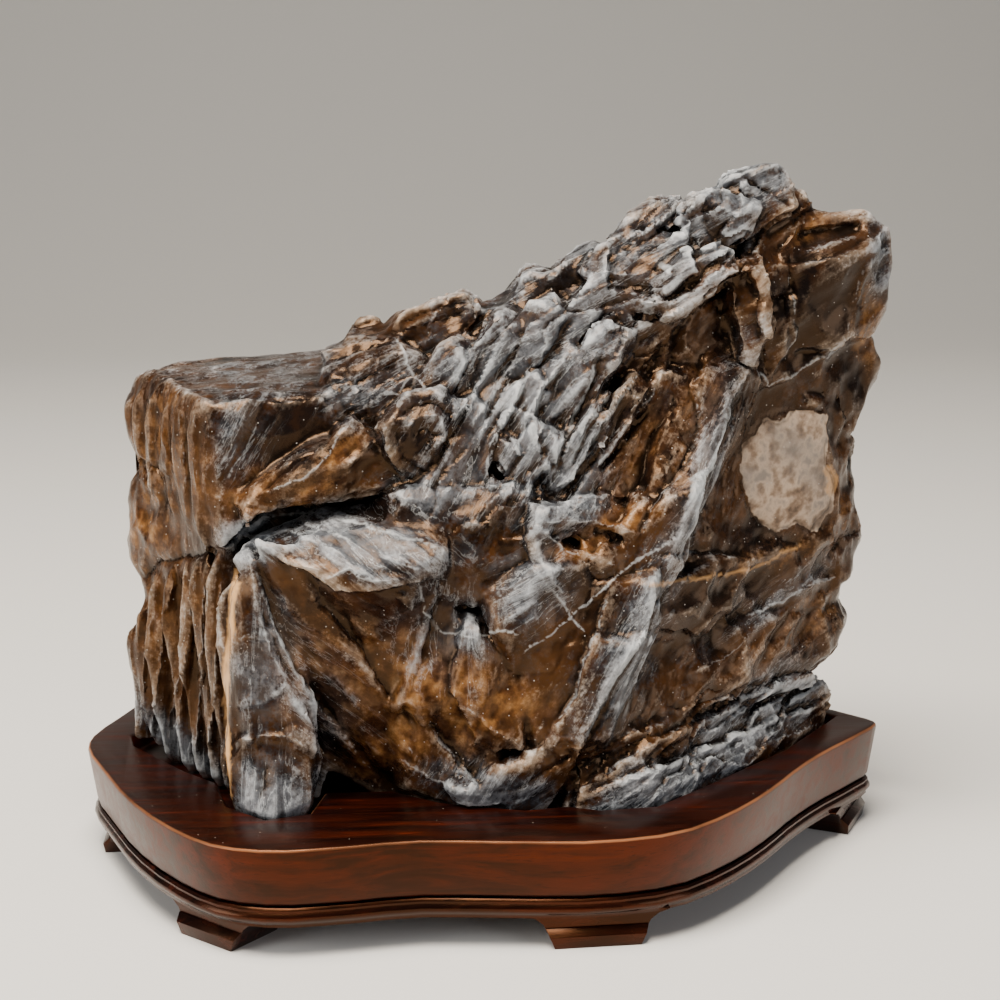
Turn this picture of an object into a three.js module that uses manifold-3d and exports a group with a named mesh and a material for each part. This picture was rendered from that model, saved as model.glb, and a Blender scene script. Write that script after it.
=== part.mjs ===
// A scholar's rock on its carved wooden stand.
// Millimetres, +Z up. The stand's long side lies along X, and the side that is shown faces -Y.
// The floor is z = 0, and the origin lies under the middle of the stand.

import * as THREE from "three";
import { ConvexGeometry } from "three/addons/geometries/ConvexGeometry.js";
import { mergeVertices } from "three/addons/utils/BufferGeometryUtils.js";
import Module from "manifold-3d";

// Driving dimensions of the stand

const BOARD_TOP = 21.4; // height of the stand's top plane above the floor
const BOARD_THICK = 11.4; // the upper board, all of its side showing
const BOARD_TAPER = 1.7; // how far the upper board's side leans in towards its lower edge
const JOINT_GAP = 0.3; // clearance between pieces that touch
const FRAME_UNDERSIDE = 6; // height of the lower board's underside above the floor
const BEAD_RADIUS = 1.1; // main bead of the lower board
const THIN_BEAD = 0.4; // thin bead that lies on the main one
const FRAME_INSET = 2; // the lower board's plain edge, measured in from the upper board's top edge
const FOOT_HEIGHT = 6.4; // top of a foot's bracket, just inside the lower board
const FOOT_FACE = 2.3; // height of a foot's upright face
const FOOT_CHAMFER = 1.3; // height of the sloping face above it
const FOOT_DEPTH = 12; // a foot from its outer face inwards
const FOOT_WIDTH = 16; // a foot at the floor
const OUTLINE_STEPS = 76; // straight pieces that the boards' curved outline is made of

// Right to left along the front edge of the board, in plan. The back edge mirrors it.
const BOARD_FRONT = [
  [82, -1], [77.5, -6.5], [67, -17.5], [59.4, -27], [52, -37.5], [43, -48], [31, -57.6], [15.6, -61],
  [-2, -59.8], [-17, -58.4], [-31, -60.3], [-43, -61], [-53, -57.5], [-61.5, -48.5], [-70.5, -33.4],
  [-77, -17], [-81.6, -4],
];

// Where the six feet stand under the board's edge, and the way each one faces, in degrees from +X
const FEET = [
  { at: [16, -58.8], facing: -87, width: 1 },
  { at: [-55.4, -51.4], facing: -132, width: 0.8 },
  { at: [-78.6, -0.5], facing: 180, width: 0.8 },
  { at: [77.6, -3.5], facing: -28, width: 0.8 },
  { at: [16, 58.8], facing: 87, width: 1 },
  { at: [-55.4, 51.4], facing: 132, width: 0.8 },
];

// Driving dimensions of the rock

const ROCK_UNDERSIDE = 18; // the rock stands in the recess, this far above the floor
const RECESS_GAP = 1.1; // the recess round the rock's foot is this much wider
const OVERHANG_GAP = 0.5; // least height of the overhanging stone above the board
const FACE_THICK = 20; // how far a broken face's block runs back into the stone
const SHOULDER_RUN = 1.8; // a broken face's edge slopes back over this width
const SHOULDER_DROP = 2; // and by this depth
const FACE_FLARE = 1.5; // a broken face's block is this much wider at its back than at its face
const FACE_TILT = 0.15; // slope of a broken face to the ones around it
const FACE_CHIP = 1.1; // how far a broken face's corners fall back behind its plane
const SMALLEST_STEP = 0.3; // steps in the stone that are smaller than this are smoothed over

// The rock's foot in plan, from its left end along the front to its right end and round the back
const ROCK_FOOT = [
  [-72.5, 3], [-71.4, -2], [-60, -18], [-53.5, -25], [-50.5, -38], [-44, -44.5], [-37, -42.5],
  [-34, -31.5], [-20.5, -31.5], [-11, -38.5], [4, -43.5], [12, -42], [18, -44.5], [28, -43.5],
  [40, -32.5], [58.5, -14.5], [73.5, 5], [66.5, 12], [50, 25], [20, 31], [-22, 31], [-52, 25],
  [-66, 14],
];

// The stone's outline as it is seen from the front, in x and z, in the upright plane y = OUTLINE_PLANE.
// It runs from the foot of the left end, over the top, down to the foot of the right end.
const SEEN_FROM = [-28, -394.5, 158.2]; // the place it is seen from
const OUTLINE_PLANE = -10;
const OUTLINE_REACH = [0.8, 1.2]; // the outline is carried from this share of that distance to this one
const ROCK_OUTLINE = [
  [-72, -5], [-71.3, 25], [-70.8, 35], [-71.6, 41], [-72.4, 48.5], [-71.3, 51.5], [-68.2, 53.5],
  [-68.6, 56], [-70.5, 62], [-70.8, 69], [-71.3, 72.5], [-70.6, 77.8], [-67.8, 80.5], [-69.2, 84],
  [-70.4, 87], [-70.8, 95], [-69.3, 99.6], [-58, 101.3], [-33, 103], [-28.4, 104.6], [-25.8, 108.8],
  [-23, 109.2], [-20.4, 106.6], [-18, 110.2], [-5, 113.8], [-1.8, 110.6], [4, 114], [7.2, 118],
  [12, 117.6], [15.5, 120.6], [19, 122.4], [23, 122.5], [26.8, 129], [31, 131.4], [35.6, 132.2],
  [37, 130.4], [38.6, 132], [44.2, 133.6], [45, 136], [53.2, 138.3], [56, 137.4], [61, 132.4],
  [62.8, 129.4], [72.3, 129.8], [78.8, 126], [77.2, 108.4], [74.5, 104.4], [77.2, 100], [76.7, 95],
  [74, 87], [71.3, 80.5], [73.1, 77], [75, 66.6], [73.4, 60.4], [72.8, 56.2], [70.2, 54.4],
  [70.1, 51.2], [72, 47.4], [70.5, 41.5], [64.4, 36], [67.3, 34.4], [69.9, 31], [68, 18], [66, -5],
];

// A fixed sequence of numbers from 0 to 1, so that every build breaks the stone in the same way

function brokenBy(seed) {
  let state = seed;
  return () => {
    state = (state * 16807) % 2147483647;
    return state / 2147483647;
  };
}

// Solids

const wasm = await Module();
wasm.setup();

function solid(geometry) {
  const bare = geometry.index ? geometry.toNonIndexed() : geometry.clone();
  bare.deleteAttribute("normal");
  bare.deleteAttribute("uv");
  const merged = mergeVertices(bare, 1e-4);
  return new wasm.Manifold(new wasm.Mesh({
    numProp: 3,
    vertProperties: new Float32Array(merged.attributes.position.array),
    triVerts: new Uint32Array(merged.index.array),
  }));
}

function geometryOf(manifold) {
  const mesh = manifold.getMesh();
  const geometry = new THREE.BufferGeometry();
  geometry.setAttribute("position", new THREE.BufferAttribute(new Float32Array(mesh.vertProperties), 3));
  geometry.setIndex(new THREE.BufferAttribute(new Uint32Array(mesh.triVerts), 1));
  geometry.computeVertexNormals();
  return geometry;
}

// A convex lump of stone from the corners that stand out of it
function chunk(corners) {
  return solid(new ConvexGeometry(corners.map(([x, y, z]) => new THREE.Vector3(x, y, z))));
}

// A block behind one broken face. The face's corners are given as seen from the front, in x and z;
// front is its depth at its middle, turn its slope to the right and lean its slope upwards.
function facet({
  face, front, turn = 0, lean = 0, thick = FACE_THICK, run = SHOULDER_RUN, flare = FACE_FLARE,
}) {
  const middleX = face.reduce((sum, [x]) => sum + x, 0) / face.length;
  const middleZ = face.reduce((sum, [, z]) => sum + z, 0) / face.length;
  const ring = (scale, push, chip = 0) => face.map(([x, z], i) => {
    const dx = (x - middleX) * scale;
    const dz = (z - middleZ) * scale;
    const back = push + chip * (1 + Math.sin(2.6 * i + middleX));
    return [middleX + dx, front + turn * dx + lean * dz + back, middleZ + dz];
  });
  const reach = face.reduce((sum, [x, z]) => sum + Math.hypot(x - middleX, z - middleZ), 0) / face.length;
  const spread = 1 + run / reach;
  const rear = Math.max(flare, spread * 0.9);
  const shoulder = ring(spread, SHOULDER_DROP + FACE_CHIP);
  return chunk([...ring(1, 0, FACE_CHIP), ...shoulder, ...ring(rear, thick)]);
}

// Faces beside one another, each tilted a little out of line with the next
function facets(faces, common = {}) {
  return faces.map((face, i) => facet({
    ...common, ...face,
    turn: (face.turn ?? 0) + FACE_TILT * Math.sin(2.4 * i),
    lean: (face.lean ?? 0) + FACE_TILT * Math.cos(1.7 * i),
  }));
}

// A slab of the layered stone: its middle, its sizes along the layer, across it and into the stone,
// the angle its layer rises at, the way it faces, and how far its corners are knocked off
function flake({ at, size, rise = 0, swing = 0, tip = 0, chip = 0.2, flare = 1, seed = 7 }) {
  const chance = brokenBy(seed * 7919 + 13);
  const half = new THREE.Vector3(size[0] / 2, size[2] / 2, size[1] / 2);
  const knock = () => 1 - chip * (0.3 + 1.4 * chance());
  const points = [];
  for (const sx of [-1, 1]) {
    for (const sz of [-1, 1]) {
      points.push(new THREE.Vector3(sx * knock(), -1, sz * knock()).multiply(half));
      points.push(new THREE.Vector3(sx * knock(), -knock(), sz).multiply(half));
      points.push(new THREE.Vector3(sx, -knock(), sz * knock()).multiply(half));
      points.push(new THREE.Vector3(sx * flare, 1, sz * flare).multiply(half));
    }
  }
  const turned = new THREE.Euler(
    THREE.MathUtils.degToRad(tip), -THREE.MathUtils.degToRad(rise), THREE.MathUtils.degToRad(swing), "ZYX",
  );
  return solid(new ConvexGeometry(points.map((p) => p.applyEuler(turned).add(new THREE.Vector3(...at)))));
}

// A low ridge of stone between two places, broad at its root
function ridge([ax, ay, az], [bx, by, bz], width) {
  const along = new THREE.Vector2(bx - ax, by - ay).normalize().multiplyScalar(width / 2);
  const root = width * 0.7;
  return chunk([
    [ax, ay, az], [bx, by, bz], [ax - along.y, ay + along.x, az - root],
    [ax + along.y, ay - along.x, az - root], [bx - along.y, by + along.x, bz - root],
    [bx + along.y, by - along.x, bz - root], [ax, ay, az - 2 * root], [bx, by, bz - 2 * root],
  ]);
}

// The whole space inside an outline, as it is seen from one place
function sight(outline) {
  const shape = new THREE.Shape(outline.map(([x, z]) => new THREE.Vector2(x, z)));
  const geometry = new THREE.ExtrudeGeometry(shape, { depth: 1, bevelEnabled: false });
  const place = geometry.attributes.position;
  const viewer = new THREE.Vector3(...SEEN_FROM);
  for (let i = 0; i < place.count; i += 1) {
    const seen = new THREE.Vector3(place.getX(i), OUTLINE_PLANE, place.getY(i));
    const carried = viewer.clone().lerp(seen, place.getZ(i) > 0.5 ? OUTLINE_REACH[0] : OUTLINE_REACH[1]);
    place.setXYZ(i, carried.x, carried.y, carried.z);
  }
  return solid(geometry);
}

// The largest body, without loose crumbs and closed pockets
function largest(stone) {
  return stone.decompose().reduce((best, crumb) => (crumb.volume() > best.volume() ? crumb : best));
}

function joined(pieces) {
  return pieces.reduce((whole, piece) => whole.add(piece));
}

// Plan outlines

function boardOutline() {
  const back = [...BOARD_FRONT].reverse().map(([x, y]) => [x, -y]);
  const points = [...BOARD_FRONT, ...back].map(([x, y]) => new THREE.Vector3(x, y, 0));
  const curve = new THREE.CatmullRomCurve3(points, true, "centripetal");
  return curve.getPoints(OUTLINE_STEPS).slice(0, -1).map((p) => new THREE.Vector2(p.x, p.y));
}

// The same outline, moved outwards by a margin
function grown(outline, margin) {
  const n = outline.length;
  return outline.map(([x, y], i) => {
    const [ax, ay] = outline[(i + n - 1) % n];
    const [bx, by] = outline[(i + 1) % n];
    const length = Math.hypot(bx - ax, by - ay);
    return [x + (margin * (by - ay)) / length, y - (margin * (bx - ax)) / length];
  });
}

function prism(outline, low, high) {
  const shape = new THREE.Shape(outline.map(([x, y]) => new THREE.Vector2(x, y)));
  const geometry = new THREE.ExtrudeGeometry(shape, { depth: high - low, bevelEnabled: false });
  return solid(geometry.translate(0, 0, low));
}

// A board of the stand's outline, its side moulded by a rule that gives the inset at each height
function moulded(low, high, steps, inset) {
  const outline = boardOutline();
  const geometry = new THREE.ExtrudeGeometry(
    new THREE.Shape(outline), { depth: high - low, steps, bevelEnabled: false },
  );
  const halfLength = Math.max(...outline.map((p) => p.x));
  const halfDepth = Math.max(...outline.map((p) => p.y));
  const place = geometry.attributes.position;
  for (let i = 0; i < place.count; i += 1) {
    const z = place.getZ(i) + low;
    const move = inset(z);
    place.setXYZ(i, place.getX(i) * (1 - move / halfLength), place.getY(i) * (1 - move / halfDepth), z);
  }
  return solid(geometry);
}

// The upper board, with the recess that the rock's foot stands in

function seatBoard() {
  const underside = BOARD_TOP - BOARD_THICK;
  const lean = (z) => BOARD_TAPER * (BOARD_TOP - z) / BOARD_THICK;
  const board = moulded(underside, BOARD_TOP, 1, lean);
  const recess = prism(grown(ROCK_FOOT, RECESS_GAP), ROCK_UNDERSIDE - JOINT_GAP, BOARD_TOP + 5);
  return board.subtract(recess);
}

// The lower board, with its beads and plain edge, and the six feet carved out of it

function foot({ at: [x, y], facing, width }) {
  const half = (FOOT_WIDTH / 2) * width;
  const shoulder = FOOT_FACE + FOOT_CHAMFER;
  const block = chunk([
    ...[-1, 1].flatMap((side) => [
      [side * half, 0, 0], [side * (half + 0.9), 0.3, FOOT_FACE], [side * (half + 1.5), -1, shoulder],
      [side * half, -FOOT_DEPTH, 0], [side * (half + 1.5), -FOOT_DEPTH, shoulder],
    ]),
  ]);
  const flank = half + 5.5;
  const profile = new THREE.Shape();
  profile.moveTo(-half - 1.2, FOOT_FACE + 0.4);
  profile.lineTo(half + 1.2, FOOT_FACE + 0.4);
  profile.quadraticCurveTo(half + 1.9, FOOT_HEIGHT - 0.9, flank, FOOT_HEIGHT - 0.2);
  profile.lineTo(flank, FOOT_HEIGHT);
  profile.lineTo(-flank, FOOT_HEIGHT);
  profile.lineTo(-flank, FOOT_HEIGHT - 0.2);
  profile.quadraticCurveTo(-half - 1.9, FOOT_HEIGHT - 0.9, -half - 1.2, FOOT_FACE + 0.4);
  const swept = new THREE.ExtrudeGeometry(
    profile, { depth: FOOT_DEPTH - 1.6, curveSegments: 3, bevelEnabled: false },
  );
  const bracket = solid(swept.rotateX(Math.PI / 2).translate(0, -1.3, 0));
  return block.add(bracket).rotate([0, 0, facing - 90]).translate([x, y, 0]);
}

function footFrame() {
  const top = BOARD_TOP - BOARD_THICK - JOINT_GAP;
  const thinMiddle = top - THIN_BEAD;
  const mainMiddle = top - 2 * THIN_BEAD - BEAD_RADIUS;
  const round = (z, middle, radius) => Math.sqrt(Math.max(0, radius * radius - (z - middle) ** 2));
  const side = (z) => {
    if (z > top - 2 * THIN_BEAD) return FRAME_INSET - 0.2 - round(z, thinMiddle, THIN_BEAD);
    if (z > top - 2 * THIN_BEAD - 2 * BEAD_RADIUS) return FRAME_INSET - round(z, mainMiddle, BEAD_RADIUS);
    return FRAME_INSET - 0.3;
  };
  const board = moulded(FRAME_UNDERSIDE, top, 8, side);
  return joined([board, ...FEET.map(foot)]);
}

// The rock: heavy masses first, then the broken faces on them

function masses() {
  return [
    // the foot of the main mass
    chunk([
      [-66, 4, 18], [-50, -24, 18], [-34, -26, 18], [-16, -29, 18], [8, -36, 18], [27, -36, 18],
      [66, 5, 18], [62, 15, 18], [30, 25, 18], [-22, 26, 18], [-56, 20, 18], [-66, 5, 52],
      [-50, -22, 52], [-30, -29, 56], [10, -34, 56], [28, -30, 56], [66, 4, 56], [62, 17, 56],
      [30, 24, 58], [-22, 25, 58], [-60, 20, 52],
    ]),
    // the middle of the main mass
    chunk([
      [-50, -20, 52], [-18, -30, 54], [12, -33, 54], [28, -28, 54], [68, 6, 54], [62, 17, 54],
      [30, 24, 54], [-50, 25, 54], [-40, -13, 92], [-12, -20, 96], [22, -22, 96], [48, -14, 96],
      [72, 5, 98], [68, 12, 98], [30, 17, 96], [-40, 22, 92],
    ]),
    // the ridge that climbs to the peak
    chunk([
      [-30, -12, 90], [6, -20, 92], [32, -20, 94], [58, -9, 96], [74, 5, 98], [70, 12, 98],
      [30, 18, 92], [-30, 20, 90], [-27, -8, 101], [-27, 9, 101], [0, -10, 108], [0, 9, 108],
      [24, -9, 117], [24, 9, 117], [46, -6, 127], [48, 7, 127], [60, -4, 125], [62, 7, 124],
      [76, 3, 116], [74, 8, 115],
    ]),
    // the flat-topped block at the left end
    chunk([
      [-72, 13, 96], [-65, -2, 97], [-55, -26, 96], [-31, -22, 97], [-27, 20, 100], [-44, 26, 97],
      [-61, 25, 97], [-73, 12, 90], [-73, 11, 84], [-70, 9, 79], [-53, -28, 90], [-52, -29, 68],
      [-44, -25, 74], [-30, -20, 88], [-58, 24, 62], [-30, 24, 70], [-64, 2, 62],
    ]),
    // the rounded lobe below it on the end
    chunk([
      [-69.5, 9, 78], [-73, 8, 74], [-73.4, 6, 66], [-73, 5, 58], [-68.6, 4, 51], [-64, -8, 66],
      [-58, -15, 74], [-54, -25, 62], [-58, 22, 78], [-62, 21, 52], [-50, -10, 54],
    ]),
  ];
}

// Upright fluted columns round the left end: the end face of the block, then the foot below it
function flutes() {
  const ribs = [];
  const upper = [
    [-72.4, 7, 91, 70], [-68.7, 2.3, 93, 74], [-65.8, -4.1, 94, 71], [-62.3, -10.6, 93, 67],
    [-58.8, -17.1, 94, 69], [-55.7, -23.7, 94, 66],
  ];
  upper.forEach(([x, y, top, low], i) => ribs.push(chunk([
    [x - 1.6, y - 2.2, top], [x - 0.2, y + 3.4, top], [x - 2.4, y + 0.3, top - 6], [x + 6, y - 1, top],
    [x + 7, y + 5, top], [x - 1.2, y - 2.6, low + 6], [x - 0.4 + (i % 2), y, low], [x + 6, y, low],
    [x + 7, y + 5, low + 3], [x - 2, y + 2.6, low + 9],
  ])));
  const lower = [
    [-72, 2.5, 47, 22], [-69.8, -0.8, 57, 20], [-66.8, -5.7, 59, 18], [-63, -11.2, 62, 18],
    [-59.8, -15.7, 65, 18], [-56.6, -20.2, 66, 18], [-53.7, -25.2, 67, 18], [-51.2, -30.3, 64, 18],
  ];
  lower.forEach(([x, y, top, low], i) => ribs.push(chunk([
    [x - 1.4, y - 2.4, top - 3], [x + 0.4, y + 3, top - 2], [x + 1.8, y, top], [x + 8, y + 1, top],
    [x + 8, y + 7, top], [x - 2.1, y - 0.6, top - 14], [x - 1.8 + (i % 2), y - 2, top - 26],
    [x + 0.4, y + 3.4, top - 24], [x + 0.8, y - 1.2, low + 3], [x + 2, y + 1, low],
    [x + 8, y + 1, low], [x + 8, y + 7, low], [x + 1.4, y + 3.6, low + 2],
  ])));
  return ribs;
}

// The pillar at the front left corner, which spreads into the foremost foot
function pillar() {
  return [
    chunk([
      [-49, -36, 63], [-45, -38, 66], [-43, -30, 68], [-39, -40, 50], [-36, -38, 44], [-51, -37, 42],
      [-52, -34, 30], [-35, -40, 33], [-50, -24, 60], [-50, -24, 28], [-36, -26, 60], [-36, -26, 32],
    ]),
    chunk([
      [-51.5, -36, 34], [-37, -41, 36], [-35, -42, 27], [-35.5, -42.6, 24], [-42, -44.4, 21],
      [-47, -43, 22], [-51, -38.5, 24], [-38, -41, 18], [-46, -41.5, 18], [-50, -36, 18],
      [-36, -34, 18], [-50, -24, 18], [-36, -24, 18], [-50, -26, 34], [-36, -26, 36],
    ]),
    // a knuckle on its right side, over the hollow
    chunk([
      [-39, -41.5, 38], [-34, -41, 35], [-33.5, -40, 31.5], [-38, -42, 31], [-36, -34, 37],
      [-36, -34, 31], [-43, -36, 34],
    ]),
  ];
}

// The broad shelf that juts out below the crevice
function shelf() {
  return [
    chunk([
      [-50, -33.5, 68], [-47, -31, 72], [-45, -38.5, 70.5], [-36, -43, 68.5], [-31, -44, 67],
      [-26, -44, 64.5], [-16, -43, 65], [-10.5, -40.5, 70], [-10, -34, 75], [-46, -22, 73],
      [-29, -20, 74], [-14, -20, 77], [-44, -36, 62], [-30, -39, 58], [-16, -38, 56], [-10, -36, 60],
      [-44, -22, 56], [-12, -22, 54],
    ]),
    // low ridges that run over it to the lip
    ridge([-44, -29, 73.6], [-40.5, -39, 70.2], 6),
    ridge([-33, -25, 75.2], [-31, -41, 68.2], 6),
    ridge([-26, -24, 76.2], [-20, -36, 70.6], 6),
    ridge([-20, -36, 70.6], [-16.5, -41.5, 66.4], 6),
    ridge([-17, -26, 77.2], [-11.5, -36, 72.8], 5),
  ];
}

// Broken faces of the front, from left to right
function frontFaces() {
  return facets([
    // under the flat top, the front of the left block
    {
      face: [[-54, 95.5], [-45, 96], [-31, 96], [-30, 91], [-44, 76], [-52, 67]],
      front: -25.5, turn: 0.1, lean: -0.05, thick: 16, flare: 1,
    },
    // the wedge-shaped ledge over the crevice
    {
      face: [[-47, 78], [-44, 81], [-37, 86], [-28, 91], [-21, 87], [-17, 80], [-29, 77.5], [-44, 77]],
      front: -31, lean: 0.12, flare: 1,
    },
    // the long face that runs down and right from the shelf
    {
      face: [[-44, 70], [-36, 68], [-28, 53], [-19, 37], [-21, 25], [-33, 30], [-38, 42]],
      front: -36.5, turn: 0.05, lean: -0.14,
    },
    {
      face: [[-31, 66], [-16, 64], [-10, 58], [-5, 52], [-7, 40], [-18, 39], [-28, 56]],
      front: -37.5, turn: 0.02, lean: -0.15,
    },
    {
      face: [[-14, 55], [-5, 54], [-7, 41], [-12, 38], [-19, 41]],
      front: -40, turn: 0.1, lean: 0.05, thick: 14,
    },
    // the foot of the middle
    {
      face: [[-19, 41], [-9, 42], [-3, 37], [-1, 27], [2, 22], [-7, 20], [-18, 23], [-21, 33]],
      front: -39, turn: -0.22, lean: 0.06,
    },
    {
      face: [[-8, 25], [1, 29], [12, 34], [13, 28], [6, 18], [-5, 18]],
      front: -43.4, lean: 0.05, thick: 18,
    },
    {
      face: [[-7, 52], [1, 51], [4, 43], [3, 34], [-4, 34], [-9, 42]],
      front: -41.4, turn: 0.1, lean: 0.1, thick: 16,
    },
    {
      face: [[-2, 62], [11, 68], [19, 60], [17, 51], [10, 47], [3, 48], [-1, 55]],
      front: -39.4, turn: 0.1, lean: 0.2,
    },
    {
      face: [[-18, 79], [5, 79], [9, 70], [-3, 60], [-13, 60], [-20, 71]],
      front: -36, turn: 0.05, lean: 0.35,
    },
    {
      face: [[6, 50], [18, 52], [26, 51], [20, 35], [13, 28], [8, 28], [3, 41]],
      front: -42, turn: 0.1, lean: 0.1,
    },
    {
      face: [[7, 76], [19, 76], [28, 71], [24, 58], [11, 60], [6, 69]],
      front: -34, turn: 0.2, lean: -0.05,
    },
    // the grey spine that climbs to the right
    {
      face: [[18, 60], [29, 62], [29, 51], [21, 41], [14, 31], [12, 41]],
      front: -40.5, turn: 0.3, lean: 0.15,
    },
    {
      face: [[27, 75], [37, 78], [35, 65], [30, 59], [19, 59], [18, 66]],
      front: -33.5, turn: 0.3, lean: 0.2,
    },
    {
      face: [[37, 98], [50, 99], [51, 94], [43, 86], [40, 78], [37, 70], [29, 70], [31, 84]],
      front: -24, turn: 0.35, lean: 0.2,
    },
    // the steep faces beyond the spine
    {
      face: [[25, 48], [42, 51], [58, 48], [47, 34], [27, 32], [17, 34]],
      front: -29, turn: 0.85, lean: 0.12,
    },
    {
      face: [[28, 60], [40, 62], [54, 61], [53, 51], [38, 47], [28, 50]],
      front: -25, turn: 0.8, lean: 0.08,
    },
    {
      face: [[50, 62], [64, 64], [77, 53], [74, 45], [57, 41], [50, 50]],
      front: -6, turn: 0.8, lean: 0.1, flare: 1,
    },
    {
      face: [[54, 49], [73, 47], [77, 42], [75, 36], [67, 32], [46, 33], [45, 42]],
      front: -7.5, turn: 0.9, lean: 0.12, flare: 1,
    },
    {
      face: [[40, 86], [50, 83], [53, 68], [59, 61], [39, 58], [36, 70]],
      front: -16.5, turn: 0.7, lean: 0.1,
    },
    {
      face: [[48, 79], [55, 88], [60, 89], [69, 89], [71, 76], [71, 69], [64, 63], [53, 65], [49, 72]],
      front: -8.5, turn: 0.6, lean: 0.12, flare: 1.1,
    },
    {
      face: [[48, 92], [60, 100], [70, 103], [70, 90], [59, 87], [48, 80], [44, 85]],
      front: -8.5, turn: 0.5, lean: -0.1, flare: 1.1,
    },
    // the shadowed hollow under the crags, with a pier across it
    {
      face: [[36, 113], [49, 119], [62, 116], [60, 105], [53, 96], [40, 96], [32, 106]],
      front: -13, turn: 0.3, lean: 0.05,
    },
    {
      face: [[46.5, 118], [51.5, 118], [53, 107], [51, 102], [48, 103], [45.5, 111]],
      front: -18.5, turn: 0.1, lean: 0.1, thick: 12,
    },
    // the curled knot
    {
      face: [[-21, 91], [-17, 95.5], [-11, 96.5], [-7.6, 93], [-9, 87], [-13, 82.6], [-17, 81.5],
        [-20.6, 86]],
      front: -30, turn: 0.05, lean: 0.15, thick: 14, flare: 1.1,
    },
    // grey cheeks above it
    {
      face: [[-31, 100], [-18, 104], [-11, 99], [-14, 92], [-26, 88], [-32, 94]],
      front: -21, lean: 0.2, thick: 20, flare: 1.1,
    },
    {
      face: [[-11, 98], [-2, 104], [5, 100], [2, 90], [-8, 88]],
      front: -23, turn: 0.1, lean: 0.3, thick: 20,
    },
    {
      face: [[-9, 88], [3, 92], [8, 84], [3, 77], [-8, 78], [-14, 81]],
      front: -29, turn: 0.05, lean: 0.3, thick: 20,
    },
  ]);
}

// The skyline, from the left block up to the peak, and the broken right end: these blocks stand free
function crestFaces() {
  return facets([
    {
      face: [[-28, 103], [-26.3, 107], [-24, 108.4], [-21, 108], [-19.6, 104], [-23, 101]],
      front: -2, lean: 0.1, thick: 9, run: 0.5,
    },
    {
      face: [[-33, 103.5], [-28, 105], [-18, 106], [-16.5, 103], [-22, 98], [-28, 97], [-31, 100]],
      front: -14, lean: 0.3, thick: 26,
    },
    {
      face: [[-19, 107], [-18, 111], [-13, 113.3], [-5, 114.4], [-2, 110.5], [-8, 102], [-13, 97],
        [-17, 101]],
      front: -12.5, lean: 0.3,
    },
    { face: [[-5, 108], [-1, 111.3], [4, 113], [8, 108], [1, 101], [-5, 100]], front: -13.5, lean: 0.35 },
    { face: [[3, 114], [7, 118], [12, 117.3], [13, 110], [6, 106], [2, 110]], front: -10.5, lean: 0.3 },
    {
      face: [[12, 118], [15, 120.7], [19, 122.4], [24, 122], [22, 112], [13, 111], [10, 114]],
      front: -9.5, turn: 0.1, lean: 0.3,
    },
    {
      face: [[24, 123], [27, 128.7], [31, 130.8], [35.4, 131.7], [36.6, 129], [37, 123], [31, 121]],
      front: -10.5, turn: 0.1, lean: 0.3,
    },
    {
      face: [[22, 124], [37, 125], [38, 119], [34, 112], [21, 111], [17, 118]],
      front: -17, turn: 0.05, lean: 0.3, thick: 24,
    },
    {
      face: [[36, 122], [43, 123.5], [48, 118], [39, 112], [33, 110], [30, 116]],
      front: -21, lean: -0.05, thick: 24,
    },
    {
      face: [[38, 131.6], [44, 133.2], [53, 130], [48, 124], [40, 121], [37, 127]],
      front: -14, turn: 0.1, lean: 0.35, thick: 24,
    },
    {
      face: [[44, 134], [49, 136.6], [54, 138.6], [59, 135], [60, 130], [55, 126], [48, 124], [44, 129]],
      front: -8.5, turn: 0.2, lean: 0.3, thick: 16,
    },
    {
      face: [[54, 129], [60, 133], [64, 131], [66, 128], [60, 122], [57, 114], [51, 114], [50, 122]],
      front: -7.5, turn: 0.3, lean: 0.3, thick: 18,
    },
    {
      face: [[74, 104], [79, 102], [81.5, 98], [81.5, 95], [78, 88], [73, 81], [68, 86], [68, 101]],
      front: 1.5, turn: 0.8, lean: 0.05, thick: 13,
    },
    { face: [[73, 84], [77, 79], [76, 72], [70, 72], [67, 80]], front: 0.5, turn: 0.7, thick: 14 },
    {
      face: [[74, 77], [77, 74], [78.5, 65], [79.3, 61], [78.3, 55], [75.4, 51], [69, 58], [68, 72]],
      front: 4, turn: 0.9, lean: 0.05, thick: 14,
    },
  ], { flare: 0.85, run: 0.9 });
}

// The block at the top of the right end, its roof hollowed between two rims
function rightBlock() {
  return [
    chunk([
      [57, -3, 127], [66, -1, 128.6], [75.5, 2, 128.4], [81.6, 2.5, 125], [80, 9, 122], [60, 10, 124],
      [59, -9, 118.6], [68, -8, 120.4], [75, -4, 122.6], [82, 3, 119], [82, 4, 109], [78, 2, 103],
      [74, 12, 103], [58, -8, 101], [69, -7, 103], [60, -11, 110], [72, -6, 112], [55, 10, 104],
    ]),
    // the broken end of it, standing a little proud
    chunk([
      [75, -4.5, 119.5], [81.4, 1.6, 121], [82, 3, 116], [81.8, 3.6, 109], [78.5, 1.6, 102.6],
      [72.6, -4.6, 106], [72, -6.4, 111], [76, 8, 112], [74, 6, 120], [74, 6, 104],
    ]),
  ];
}

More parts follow.
